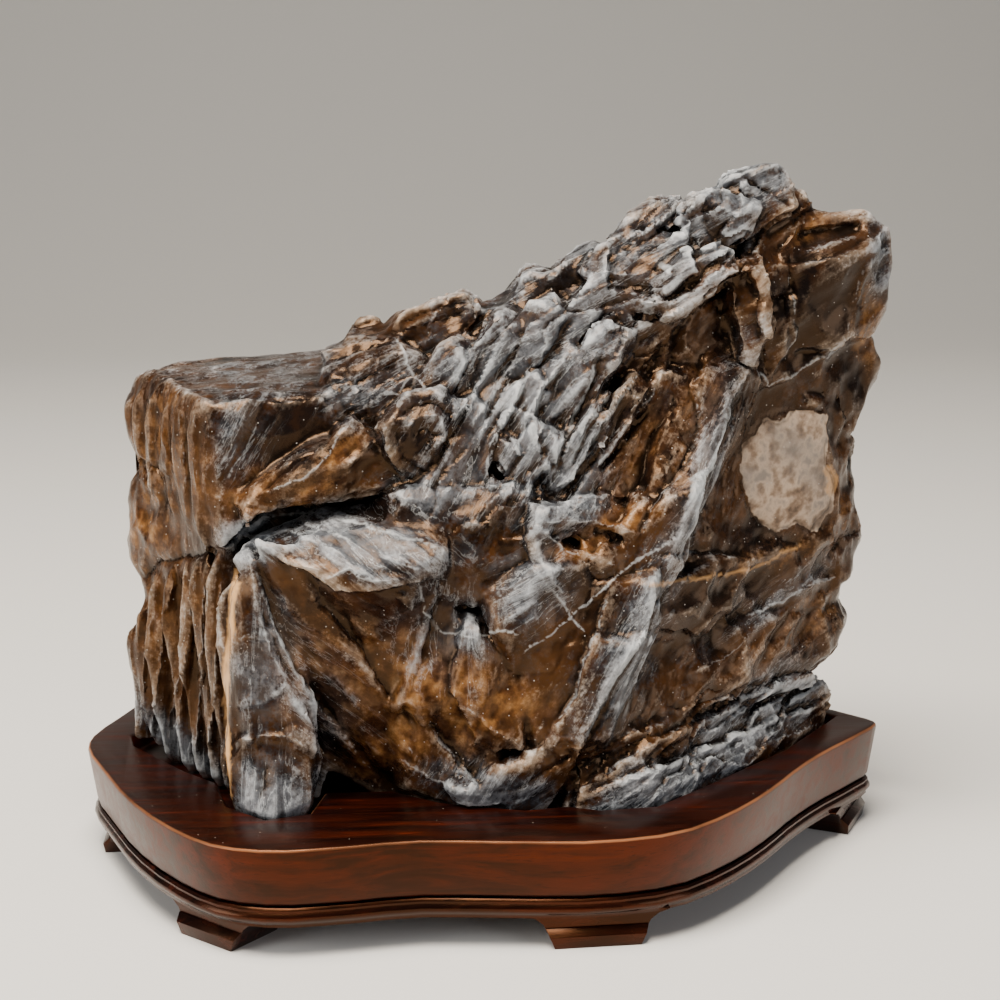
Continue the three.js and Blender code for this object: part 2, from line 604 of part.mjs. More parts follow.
// The oblique grey layers of the middle: slabs that rise to the right, each one over the edge of the next
function layers() {
  const chance = brokenBy(2027);
  const slabs = [];
  for (let row = 0; row < 3; row += 1) {
    for (let i = 0; i < 5; i += 1) {
      const along = -10 + i * 8.4 + row * 3 + 2.4 * chance();
      const up = crest(along) - 15 - row * 10 + 3 * chance();
      const depth = -16 - (112 - up) * 0.36 + Math.max(0, along - 22) * 0.35;
      slabs.push(flake({
        at: [along, depth + 7, up], size: [17 + 6 * chance(), 6 + 2.5 * chance(), 17],
          rise: 48 + 10 * chance(),
        swing: 12 - 20 * chance(), tip: -18 + 8 * chance(), chip: 0.3, flare: 1.3, seed: 100 + row * 6 + i,
      }));
    }
  }
  return slabs;
}

// The plates at the lower right: three thin courses laid along the foot, each set back on the one below
function courses() {
  const foot = [[13.5, -43.5], [28, -43], [40, -32], [58, -14], [73, 4.5]];
  const plates = [
    { low: 18, high: 25, inset: [0.4, 0.2, 0.3, 0.2, 0.6], drop: 0 },
    { low: 23, high: 29.5, inset: [1.6, 1.2, 2.4, 1.6, -0.6], drop: 1.5 },
    { low: 28, high: 35, inset: [3.4, 2.6, 3.6, 3.6, 3.4], drop: 0.5 },
  ];
  return plates.flatMap(({ low, high, inset, drop }) => foot.slice(1).map(([bx, by], i) => {
    const [ax, ay] = foot[i];
    const depth = 14;
    const a = inset[i];
    const b = inset[i + 1];
    return chunk([
      [ax - a * 0.4, ay + a, low], [ax - a * 0.4, ay + a + 0.6, high - drop],
      [bx - b * 0.6, by + b, low], [bx - b * 0.6, by + b + 0.6, high],
      [(ax + bx) / 2 - a * 0.5, (ay + by) / 2 + a - 1.2, (low + high) / 2], [ax - 6, ay + depth, low],
      [ax - 6, ay + depth, high], [bx - 8, by + depth * 0.8, low], [bx - 8, by + depth * 0.8, high],
    ]);
  }));
}

// Height of the skyline above the floor along the rock
function crest(x) {
  if (x < -29) return 95;
  if (x < 52) return 101 + (x + 29) * 0.42;
  return 134 - (x - 52) * 0.55;
}

// The back and the sides that are turned away: steep slabs that follow the same layers, behind one another
function backFaces() {
  const chance = brokenBy(424243);
  const slabs = [];
  for (const level of [0.1, 0.37, 0.64, 0.92]) {
    for (let x = -50; x <= 58; x += 15 + 4 * chance()) {
      const top = crest(x) - 13;
      const up = 26 + level * (top - 26) + 4 * (chance() - 0.5);
      const ends = 1 - Math.abs((x - 2) / 74) ** 3;
      const surface = (29 - 15 * level) * ends + 3 * (chance() - 0.5);
      slabs.push(flake({
        at: [x, surface - 8, up], size: [26 + 9 * chance(), 21 + 7 * chance(), 19],
          rise: -38 - 18 * chance(),
        swing: 180 - 0.3 * x + 12 * (chance() - 0.5), tip: 8 * (chance() - 0.5), chip: 0.3, flare: 0.8,
        seed: Math.round(x * 3 + up * 17),
      }));
    }
  }
  return slabs;
}

// Clefts, pits and hollows
function hollows() {
  return [
    // the crevice under the left block and the wedge-shaped ledge
    chunk([
      [-54, -38, 66], [-45, -38, 76.4], [-29, -38, 76.7], [-17, -38, 78.8], [-17, -38, 78],
      [-29, -38, 75.6], [-46, -38, 73.4], [-52, -18, 69], [-45, -14, 74.4], [-19, -24, 78.2],
    ]),
    // the dark hollow under the long face, beside the pillar
    chunk([
      [-34.5, -50, 17], [-19, -50, 17], [-33.6, -50, 29], [-28, -50, 26.6], [-19, -50, 21.6],
      [-34.5, -20, 17], [-24, -20, 17], [-33, -22, 24],
    ]),
    // the cleft in the foot of the middle
    chunk([
      [11.6, -50, 17], [14.6, -50, 17], [12.4, -50, 34], [13.4, -50, 34], [13, -34, 17], [13, -37, 30],
    ]),
    // the deep hole in the middle
    chunk([
      [-3.6, -40, 85], [1.6, -40, 85.4], [2.8, -40, 79.4], [-1.6, -40, 78.4], [-1, -22, 83],
      [1, -22, 81],
    ]),
    // the heart of the curled knot
    chunk([
      [-16.4, -36, 89.4], [-13.8, -36, 90], [-12.2, -36, 88], [-13.2, -36, 85.4], [-16, -36, 86],
      [-14.4, -27.6, 88],
    ]),
    // the brown troughs either side of the fan-shaped ridge
    chunk([[9.6, -42, 72], [16, -42, 73], [16.6, -42, 66], [10, -42, 66], [12, -28, 70], [15, -28, 68]]),
    chunk([[18.6, -42, 73], [24.6, -42, 72], [25, -42, 67.6], [19, -42, 66], [21, -26, 70]]),
    // the long brown trough under the upper layers
    chunk([
      [15, -44, 79], [17, -44, 84], [30, -40, 99], [33, -40, 98], [31, -42, 86], [24, -42, 78],
      [20, -22, 82], [29, -18, 92],
    ]),
    // the ochre recess in the roof of the right end
    chunk([
      [59, -16, 120.2], [60, -16, 126], [70, -14, 127.4], [77.6, -12, 127], [76, -12, 124.6],
      [68, -14, 121.8], [62, -5.2, 121.6], [62, -2.4, 125], [74, -0.6, 124.4], [74, 1, 126.2],
    ]),
  ];
}

function rock() {
  const body = joined([
    ...masses(), ...flutes(), ...pillar(), ...shelf(), ...frontFaces(), ...crestFaces(), ...rightBlock(),
    ...layers(), ...courses(), ...backFaces(),
  ]);
  const carved = hollows().reduce((stone, cut) => stone.subtract(cut), body);
  const board = [[-120, -120], [120, -120], [120, 120], [-120, 120]];
  const below = prism(board, -50, ROCK_UNDERSIDE);
  const aroundFoot = prism(board, ROCK_UNDERSIDE - 1, BOARD_TOP + OVERHANG_GAP)
    .subtract(prism(ROCK_FOOT, ROCK_UNDERSIDE - 2, BOARD_TOP + OVERHANG_GAP + 1));
  const whole = carved.intersect(sight(ROCK_OUTLINE)).subtract(below).subtract(aroundFoot);
  return largest(largest(whole).simplify(SMALLEST_STEP));
}

// The assembly

function piece(name, manifold, color, roughness) {
  const material = new THREE.MeshStandardMaterial({ color, roughness, metalness: 0 });
  const mesh = new THREE.Mesh(geometryOf(manifold), material);
  mesh.name = name;
  return mesh;
}

const scholarsRock = new THREE.Group();
scholarsRock.add(
  piece("rock", rock(), 0x54504c, 0.6),
  piece("seat_board", seatBoard(), 0x4a1a0e, 0.35),
  piece("foot_frame", footFrame(), 0x3a140b, 0.35),
);

export default scholarsRock;
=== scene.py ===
# %% [markdown]
# A scholar's rock on its carved stand
#
# The object is a craggy stone, chosen for its shape and polished here and there by handling. It stands
# in a recess cut into a lacquered wooden stand. The solids of the stone and the stand are loaded first.
# They fix every size, and everything below only dresses them: nothing grows out of their box.

import functools
import math
import types

import bmesh
import bpy
import numpy as np
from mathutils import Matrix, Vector


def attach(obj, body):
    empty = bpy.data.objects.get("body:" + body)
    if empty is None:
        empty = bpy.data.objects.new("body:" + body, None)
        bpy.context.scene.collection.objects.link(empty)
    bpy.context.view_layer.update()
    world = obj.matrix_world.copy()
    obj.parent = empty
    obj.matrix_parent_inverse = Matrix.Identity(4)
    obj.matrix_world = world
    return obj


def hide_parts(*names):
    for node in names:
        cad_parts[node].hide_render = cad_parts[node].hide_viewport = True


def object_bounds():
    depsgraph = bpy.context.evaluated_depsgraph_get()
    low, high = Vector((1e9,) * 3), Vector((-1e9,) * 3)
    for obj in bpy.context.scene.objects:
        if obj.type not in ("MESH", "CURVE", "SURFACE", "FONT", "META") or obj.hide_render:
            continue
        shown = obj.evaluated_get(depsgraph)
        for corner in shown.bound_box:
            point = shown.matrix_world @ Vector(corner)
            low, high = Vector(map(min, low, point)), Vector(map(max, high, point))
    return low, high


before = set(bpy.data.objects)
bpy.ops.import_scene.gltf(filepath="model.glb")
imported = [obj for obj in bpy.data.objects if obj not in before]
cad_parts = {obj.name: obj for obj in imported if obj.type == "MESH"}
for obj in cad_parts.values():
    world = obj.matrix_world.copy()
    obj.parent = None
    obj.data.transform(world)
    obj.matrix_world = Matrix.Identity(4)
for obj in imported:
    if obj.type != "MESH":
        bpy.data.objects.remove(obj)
cad_low, cad_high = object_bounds()
MM = 0.001
print("solids:", sorted(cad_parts))
print("size in mm:", [round(side / MM, 1) for side in cad_high - cad_low])

# %% [markdown]
# The camera
#
# The picture is taken from a little above and from the left of the middle, with a long lens, so upright
# edges stay nearly upright. A long lens keeps the stone's proportions. The place and the two angles are
# real measures, in millimetres and degrees from the middle of the stand's underside.

# %% Set up the camera
CAMERA_PLACE = Vector((-28.05, -394.5, 158.17)) * MM
LOOKS_DOWN = 12.47
TURNED_RIGHT = 4.44
FOCAL_LENGTH = 72
SENSOR = 36

camera_data = bpy.data.cameras.new("camera")
camera_data.lens = FOCAL_LENGTH
camera_data.sensor_width = SENSOR
camera_data.clip_start = 0.01
camera = bpy.data.objects.new("camera", camera_data)
camera.location = CAMERA_PLACE
camera.rotation_euler = (math.radians(90 - LOOKS_DOWN), 0, math.radians(-TURNED_RIGHT))
bpy.context.scene.collection.objects.link(camera)
bpy.context.scene.camera = camera
print("camera:", [round(v / MM) for v in CAMERA_PLACE], "mm")

# %% [markdown]
# Helpers for the finishes
#
# A colour is written as the hex value that a colour picker shows. Blender's shaders count light evenly,
# so one function turns it to linear numbers. A second function adds a shader node with its settings and
# links. A short table gives plain words to the nodes that are used most, so that a material reads as a
# list of what it is made of.


# %% Colours and shader nodes
def colour(code):
    """A hex colour as the linear red, green, blue and alpha that a shader wants."""
    parts = [int(code[i:i + 2], 16) / 255 for i in (1, 3, 5)]
    return [p / 12.92 if p <= 0.04045 else ((p + 0.055) / 1.055) ** 2.4 for p in parts] + [1.0]


# "range" stretches a value from one range to another and clips it; "mix" lays one colour over another
WORDS = {
    "plus": ("Math", {}),
    "minus": ("Math", {"operation": "SUBTRACT"}),
    "times": ("Math", {"operation": "MULTIPLY"}),
    "most": ("Math", {"operation": "MAXIMUM"}),
    "size": ("Math", {"operation": "ABSOLUTE"}),
    "range": ("MapRange", {"clamp": True}),
    "mix": ("Mix", {"data_type": "RGBA"}),
    "ramp": ("ValToRGB", {}),
}


def add_node(tree, word, *values, out=0, stops=(), **named):
    """Adds a node and gives one of its outputs. Values or links fill its sockets in order, or by name."""
    kind, settings = WORDS.get(word, (word, {}))
    node = tree.nodes.new("ShaderNode" + kind)
    sockets = {socket.name.lower().replace(" ", "_"): socket for socket in node.inputs}
    for name, value in (settings | named).items():
        if name not in sockets:
            setattr(node, name, value)
    filled = list(zip([socket for socket in node.inputs if socket.enabled], values))
    filled += [(sockets[name], value) for name, value in named.items() if name in sockets]
    for socket, value in filled:
        if isinstance(value, bpy.types.NodeSocket):
            tree.links.new(value, socket)
        else:
            socket.default_value = colour(value) if isinstance(value, str) else value
    for i, (position, code) in enumerate(stops):
        steps = node.color_ramp.elements
        step = steps[i] if i < 2 else steps.new(position)
        step.position = position
        step.color = colour(code)
    given = [socket for socket in node.outputs if socket.enabled]
    return node.outputs[out] if isinstance(out, str) else given[out] if given else None


def new_material(name):
    """An empty material, and the function that adds nodes to it."""
    material = bpy.data.materials.new(name)
    material.use_nodes = True
    material.node_tree.nodes.clear()
    return material, functools.partial(add_node, material.node_tree)


print("white is", [round(c, 2) for c in colour("#ffffff")[:3]])

# %% [markdown]
# A fine, even skin for the stone
#
# The stone's solid is a few thousand flat facets. A real stone has no flat facets: its breaks are worn,
# wrinkled and layered. Sculpting by hand isn't possible in a script, so the skin is made in three steps:
# a voxel remesh turns the solid into small even faces, a little smoothing wears its edges as handling
# has, and then each point is moved along its normal by patterns that are named after what they look like.


# %% Copy a solid and remesh it
def copied(node, name):
    """A copy of a solid under a new name, with its loose triangles merged."""
    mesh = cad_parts[node].data.copy()
    mesh.name = name
    mesh.materials.clear()
    shape = bmesh.new()
    shape.from_mesh(mesh)
    bmesh.ops.remove_doubles(shape, verts=shape.verts, dist=0.001 * MM)
    shape.to_mesh(mesh)
    shape.free()
    piece = bpy.data.objects.new(name, mesh)
    bpy.context.scene.collection.objects.link(piece)
    return piece


def settled(piece):
    """Applies all of a piece's modifiers."""
    graph = bpy.context.evaluated_depsgraph_get()
    mesh = bpy.data.meshes.new_from_object(piece.evaluated_get(graph))
    piece.modifiers.clear()
    old = piece.data
    piece.data = mesh
    bpy.data.meshes.remove(old)
    mesh.name = piece.name
    return piece


SKIN_STEP = 0.47
WEAR_PASSES = 3

stone = copied("rock", "weathered_stone")
skin = stone.modifiers.new("even faces", "REMESH")
skin.mode = "VOXEL"
skin.voxel_size = SKIN_STEP * MM
wear = stone.modifiers.new("worn edges", "SMOOTH")
wear.factor = 0.5
wear.iterations = WEAR_PASSES
settled(stone)
print("skin:", len(stone.data.polygons), "faces")

# %% [markdown]
# Worn soft by hands and water
#
# Some parts of the stone are worn far more than others: the fluted end, the shelf and the long face are
# smooth to the touch, while the layers in the middle are still crisp. So each point is drawn towards the
# mean of its neighbours, again and again, and keeps only as much of that as its part of the stone is worn.


# %% Wear the smooth parts
def points_of(mesh):
    """Places in mm and normals of all points."""
    place = np.empty(len(mesh.vertices) * 3)
    mesh.vertices.foreach_get("co", place)
    normal = np.empty(len(mesh.vertices) * 3)
    mesh.vertex_normals.foreach_get("vector", normal)
    return place.reshape(-1, 3) / MM, normal.reshape(-1, 3)


def neighbours(mesh):
    """Both ends of every edge, and the number of edges at each point."""
    ends = np.empty(len(mesh.edges) * 2, np.int64)
    mesh.edges.foreach_get("vertices", ends)
    ends = ends.reshape(-1, 2)
    count = np.bincount(ends.ravel(), minlength=len(mesh.vertices))
    return ends, np.maximum(count, 1)


def softened(values, ends, count, passes):
    """Values averaged over neighbouring points, again and again."""
    values = values.copy()
    for _ in range(passes):
        total = np.zeros_like(values)
        for column in range(values.shape[1]):
            total[:, column] = np.bincount(ends[:, 0], values[ends[:, 1], column], len(values))
            total[:, column] += np.bincount(ends[:, 1], values[ends[:, 0], column], len(values))
        values = 0.5 * values + 0.5 * total / count[:, None]
    return values


# middle x and z, half width and half height in mm, and how worn it is there
WORN_SPOTS = [
    (-66, 82, 14, 18, 0.95), (-60, 42, 16, 26, 0.9), (-42, 88, 14, 12, 0.5), (-28, 68, 22, 10, 0.6),
    (-30, 44, 16, 22, 0.7), (-14, 48, 12, 16, 0.6), (62, 76, 14, 26, 0.6), (68, 112, 14, 14, 0.4),
]
WEARING_PASSES = 70
LEAST_WORN = 0.15
FOOT_KEPT_TO = 22
FOOT_FADES_OVER = 5

place, _ = points_of(stone.data)
ends, count = neighbours(stone.data)
worn = np.full(len(place), LEAST_WORN)
for x, z, wide, high, strength in WORN_SPOTS:
    far = ((place[:, 0] - x) / wide) ** 2 + ((place[:, 2] - z) / high) ** 2
    worn = np.maximum(worn, strength * np.clip(1.7 - far, 0, 1))
worn *= np.clip((place[:, 2] - FOOT_KEPT_TO) / FOOT_FADES_OVER, 0, 1)
place += (softened(place, ends, count, WEARING_PASSES) - place) * worn[:, None]
stone.data.vertices.foreach_set("co", (place * MM).ravel())
stone.data.update()
print("worn at most", round(float(worn.max()), 2))


# %% [markdown]
# Patterns that break stone
#
# Every pattern below is a formula of the place in the stone, in millimetres, so it gives the same result
# on each run. They work on all points at once with numpy, which is hundreds of times faster than a loop.
# Hard stone breaks in shell-shaped scoops that meet in sharp ridges: that is the lower envelope of many
# tilted bowls. Stretched along the layers, the same scoops are flutes and fine striations. Where the stone
# is layered, a saw-tooth across the layers makes ledges that lap over one another.


# %% Noise and broken cells
def scattered(cell, seed):
    """A number from 0 to 1 for each whole-numbered cell."""
    mixed = cell[..., 0] * 374761393 + cell[..., 1] * 668265263 + cell[..., 2] * 974634777 + seed * 362437
    mixed = ((mixed & 0xFFFFFFFF) ^ ((mixed & 0xFFFFFFFF) >> 13)) * 1274126177
    mixed = (mixed & 0xFFFFFFFF) ^ ((mixed & 0xFFFFFFFF) >> 16)
    return (mixed & 0xFFFFFF) / 0xFFFFFF


def noise(place, seed=0):
    """Smooth noise from -1 to 1."""
    cell = np.floor(place).astype(np.int64)
    along = place - cell
    along = along * along * (3 - 2 * along)
    total = np.zeros(len(place))
    for dx in (0, 1):
        for dy in (0, 1):
            for dz in (0, 1):
                step = np.array((dx, dy, dz))
                share = np.prod(np.where(step, along, 1 - along), axis=1)
                total += share * scattered(cell + step, seed)
    return total * 2 - 1


def rough(place, seed=0, octaves=3):
    """Noise with finer noise on it."""
    return sum(noise(place * 2 ** i + 7.3 * i, seed + i) / 2 ** i for i in range(octaves))


def scoops(place, seed):
    """Shell-shaped hollows that meet in sharp ridges: the lowest of many tilted bowls."""
    place = place + 0.35 * np.stack([noise(place * 1.3 + 9.1 * i, seed + 20 + i) for i in range(3)], 1)
    cell = np.floor(place).astype(np.int64)
    lowest = np.full(len(place), 9.0)
    for dx in (-1, 0, 1):
        for dy in (-1, 0, 1):
            for dz in (-1, 0, 1):
                other = cell + np.array((dx, dy, dz))
                apart = place - other - np.stack([scattered(other, seed + i) for i in range(3)], axis=1)
                tilt = np.stack([scattered(other, seed + 3 + i) for i in range(3)], axis=1) * 2 - 1
                bowl = (apart ** 2).sum(1) + 0.6 * (apart * tilt).sum(1) + 0.5 * scattered(other, seed + 6)
                lowest = np.minimum(lowest, bowl)
    return lowest - 0.42


def turned(place, angle):
    """The place measured along the layers, into the stone and across the layers."""
    c, s = math.cos(math.radians(angle)), math.sin(math.radians(angle))
    return place[:, 0] * c + place[:, 2] * s, place[:, 1], -place[:, 0] * s + place[:, 2] * c


def ledges(place, angle, spacing, seed):
    """Saw-toothed steps, each layer lapping over the next, with a height of its own."""
    along, deep, across = turned(place, angle)
    bend = 0.8 * noise(np.stack([along / 24, deep / 16, across / 10], 1), seed)
    bend += 0.3 * noise(np.stack([along / 7, deep / 6, across / 3], 1), seed + 1)
    rise = across / spacing + bend * 5 / spacing ** 0.5
    layer = np.floor(rise)
    tooth = rise - layer
    stretch = np.floor(along / (spacing * 4) + 0.37 * layer)
    own = scattered(np.stack([layer, stretch, layer * 0], 1).astype(np.int64), seed)
    return (tooth ** 1.3 - 0.45) * (0.35 + 0.9 * own)


sample = np.random.default_rng(1).uniform(0, 40, (2000, 3))
print("noise runs from", round(noise(sample).min(), 2), "to", round(noise(sample).max(), 2))

# %% [markdown]
# Where the stone breaks in which way
#
# Each part of the stone has its own character: upright flutes round the left end, a smooth glossy front
# on the flat-topped block, wavy folds on the shelf, steep fine striations on the grey spine, thin plates
# at the lower right. A table of places gives the middle and the half sizes of each part, seen from the
# front, and how strongly each pattern works there. The patterns fade into each other between the places.

# %% The table of places
# middle x and z, half width and half height, all in mm; angle of the layers in degrees; depth and spacing
# of the ledges; then depth, spacing and stretch of the big scoops, and the same for the small ones
PLACES = {
    "end flutes": (-68, 82, 11, 17, 88, (0, 4), (1.2, 8, 2.0), (0.7, 2.0, 6)),
    "foot flutes": (-60, 42, 14, 24, 86, (0, 4), (1.2, 7, 2.5), (0.8, 2.0, 6)),
    "end lobe": (-70, 66, 8, 10, 80, (0, 4), (2.2, 8, 1.2), (0.6, 3, 1.5)),
    "block front": (-42, 88, 11, 11, 66, (0, 4), (1.8, 10, 1.5), (0.3, 4, 3)),
    "block top": (-46, 102, 22, 5, 10, (0.1, 2.6), (1.0, 9, 2), (0.35, 3, 2)),
    "wedge": (-31, 82, 12, 7, 25, (0.2, 3), (2.2, 6, 1.5), (0.6, 2.8, 1.5)),
    "shelf": (-28, 69, 19, 9, 160, (0, 4), (1.8, 7, 1.6), (0.5, 3.4, 2.5)),
    "long face": (-32, 45, 12, 20, 125, (0, 5), (2.6, 10, 2.0), (0.9, 4, 2.5)),
    "pillar": (-45, 40, 8, 24, 95, (0, 4), (2.4, 7, 1.3), (0.8, 3.2, 1.6)),
    "middle column": (-12, 48, 11, 15, 78, (0, 4), (2.6, 8, 1.8), (0.8, 3.2, 2.5)),
    "middle foot": (-2, 28, 13, 11, 68, (0.3, 3), (2.2, 6, 2), (0.7, 2.4, 3)),
    "nose": (5, 21, 12, 5, 24, (0.8, 2.2), (0.6, 6, 2), (0.3, 2.2, 3)),
    "cap": (-22, 99, 12, 8, 30, (0.4, 3), (1.6, 6, 1.5), (0.5, 2.6, 1.5)),
    "knot": (-14, 89, 7, 8, 50, (0, 3), (1.6, 5, 1.5), (0.6, 2.4, 2)),
    "grey layers": (6, 88, 19, 17, 56, (1.0, 4.2), (1.8, 7, 2.5), (0.6, 2.4, 3)),
    "crest": (14, 110, 22, 11, 34, (0.9, 4.4), (2.4, 7, 1.4), (0.8, 3, 1.6)),
    "fan": (12, 65, 13, 11, 40, (0.2, 4), (2.2, 7, 1.8), (0.5, 3, 2)),
    "brown trough": (22, 88, 9, 12, 58, (0.3, 4), (2.2, 6, 2.2), (0.8, 2.8, 2.2)),
    "spine": (40, 86, 10, 16, 64, (0.3, 2.2), (1.0, 8, 3), (0.45, 1.8, 6)),
    "spine foot": (22, 50, 10, 17, 62, (0.2, 2.6), (1.4, 7, 2.5), (0.6, 2.2, 5)),
    "hollow": (48, 108, 14, 9, 40, (0, 4), (2.6, 8, 1.3), (0.7, 3, 1.5)),
    "peak": (47, 130, 16, 9, 36, (0.9, 3.4), (1.6, 6, 1.6), (0.5, 2.4, 2)),
    "right block": (71, 114, 11, 14, 30, (0, 4), (2.4, 10, 1.5), (0.5, 3.4, 2)),
    "pale patch": (61, 76, 9, 12, 60, (0, 4), (0.2, 8, 1), (0.12, 2, 1)),
    "right edge": (76, 74, 6, 22, 100, (0, 4), (2.4, 8, 1.3), (0.6, 3, 1.5)),
    "lower right": (48, 52, 20, 13, 28, (0, 4), (3.0, 10, 1.8), (0.8, 3.6, 2.5)),
    "plates": (42, 27, 28, 8, 22, (1.0, 3.2), (1.0, 7, 2.5), (0.5, 2.2, 4)),
}


def closeness(place, x, z, wide, high):
    """How much a point belongs to a place: 1 in its middle, fading to 0 outside it."""
    return np.exp(-((place[:, 0] - x) / wide) ** 2 - ((place[:, 2] - z) / high) ** 2)


across = [spot[0] for spot in PLACES.values()]
print(len(PLACES), "places, from", min(across), "to", max(across), "mm")


# %% [markdown]
# Carving
#
# Points move along their normals, so a pattern raises the front of the stone as well as its ends. The
# broad shapes come first and the fine ones after, each on the normals of the last result. The foot in
# the recess hardly moves, the stone over the board never sinks into it, and no point leaves the box.


# %% Move the points
BOARD_TOP = 21.4
STONE_FOOT = 19.0
FREE_OF_RECESS = 27.0
GAP_OVER_BOARD = 0.3
INSIDE_BOX = 0.02


def move(mesh, height):
    """Moves each point along its normal by height, in mm, within the stone's limits."""
    place, normal = points_of(mesh)
    free = np.clip((place[:, 2] - STONE_FOOT) / (FREE_OF_RECESS - STONE_FOOT), 0, 1)
    moved = place + normal * (height * free)[:, None]
    over_board = place[:, 2] > BOARD_TOP + GAP_OVER_BOARD + 0.1
    kept_over = np.maximum(moved[:, 2], BOARD_TOP + GAP_OVER_BOARD)
    moved[:, 2] = np.where(over_board, kept_over, np.minimum(moved[:, 2], place[:, 2]))
    moved = np.clip(moved, np.array(cad_low) / MM + INSIDE_BOX, np.array(cad_high) / MM - INSIDE_BOX)
    mesh.vertices.foreach_set("co", (moved * MM).ravel())
    mesh.update()


def shares(place):
    """How much each point belongs to each place; the shares of a point add up to 1."""
    table = (np.stack([closeness(place, *spot[:4]) for spot in PLACES.values()], 1) + 1e-3) ** 1.5
    return table / table.sum(1, keepdims=True)


def carve(mesh, kind):
    """Adds one kind of pattern, with each place's own strength, spacing and angle."""
    place, _ = points_of(mesh)
    table = shares(place)
    height = np.zeros(len(place))
    for i, (x, z, wide, high, angle, *patterns) in enumerate(PLACES.values()):
        depth, spacing, *stretch = patterns[kind]
        near = table[:, i] > 0.02
        if depth == 0 or not near.any():
            continue
        here = place[near]
        if kind == LEDGES:
            shape = ledges(here, angle, spacing, 11 + i)
        else:
            along, deep, across = turned(here, angle)
            shape = scoops(np.stack([along / stretch[0], deep, across], 1) / spacing, 40 + 30 * kind)
        height[near] += table[near, i] * depth * shape
    move(mesh, height)
    return height


# %% [markdown]
# Ridges, cracks and steps that a viewer would recognise
#
# The patterns give the stone its grain, but a collector knows it by its own lines: the seam under the
# wedge, the folds on the shelf, the long diagonal breaks. Those are drawn one by one, as a carver would
# scribe them from where the picture is taken. Each line is a run of points in the picture, column and row
# in pixels of a frame 1000 pixels wide. Its height and width are real sizes in mm, and the last number is
# how pale it is painted: a pale vein on some lines, a painted highlight along the ridge or step on others.
# A line is a ridge, a groove, or a step, whose left side as one walks along it stands proud.

# %% Where a point is seen, and the lines
PICTURE_SIZE = 1000
STONE_DISTANCE = 390
MM_PER_PIXEL = STONE_DISTANCE * SENSOR / FOCAL_LENGTH / PICTURE_SIZE


def sighted(place):
    """Where each point, in mm, is seen in the picture: its column and row in pixels."""
    view = np.array(camera.rotation_euler.to_matrix())
    apart = (place - np.array(CAMERA_PLACE) / MM) @ view
    across, up = (apart[:, :2] / -apart[:, 2:]).T * PICTURE_SIZE * FOCAL_LENGTH / SENSOR
    return np.stack([PICTURE_SIZE / 2 + across, PICTURE_SIZE / 2 - up], 1)


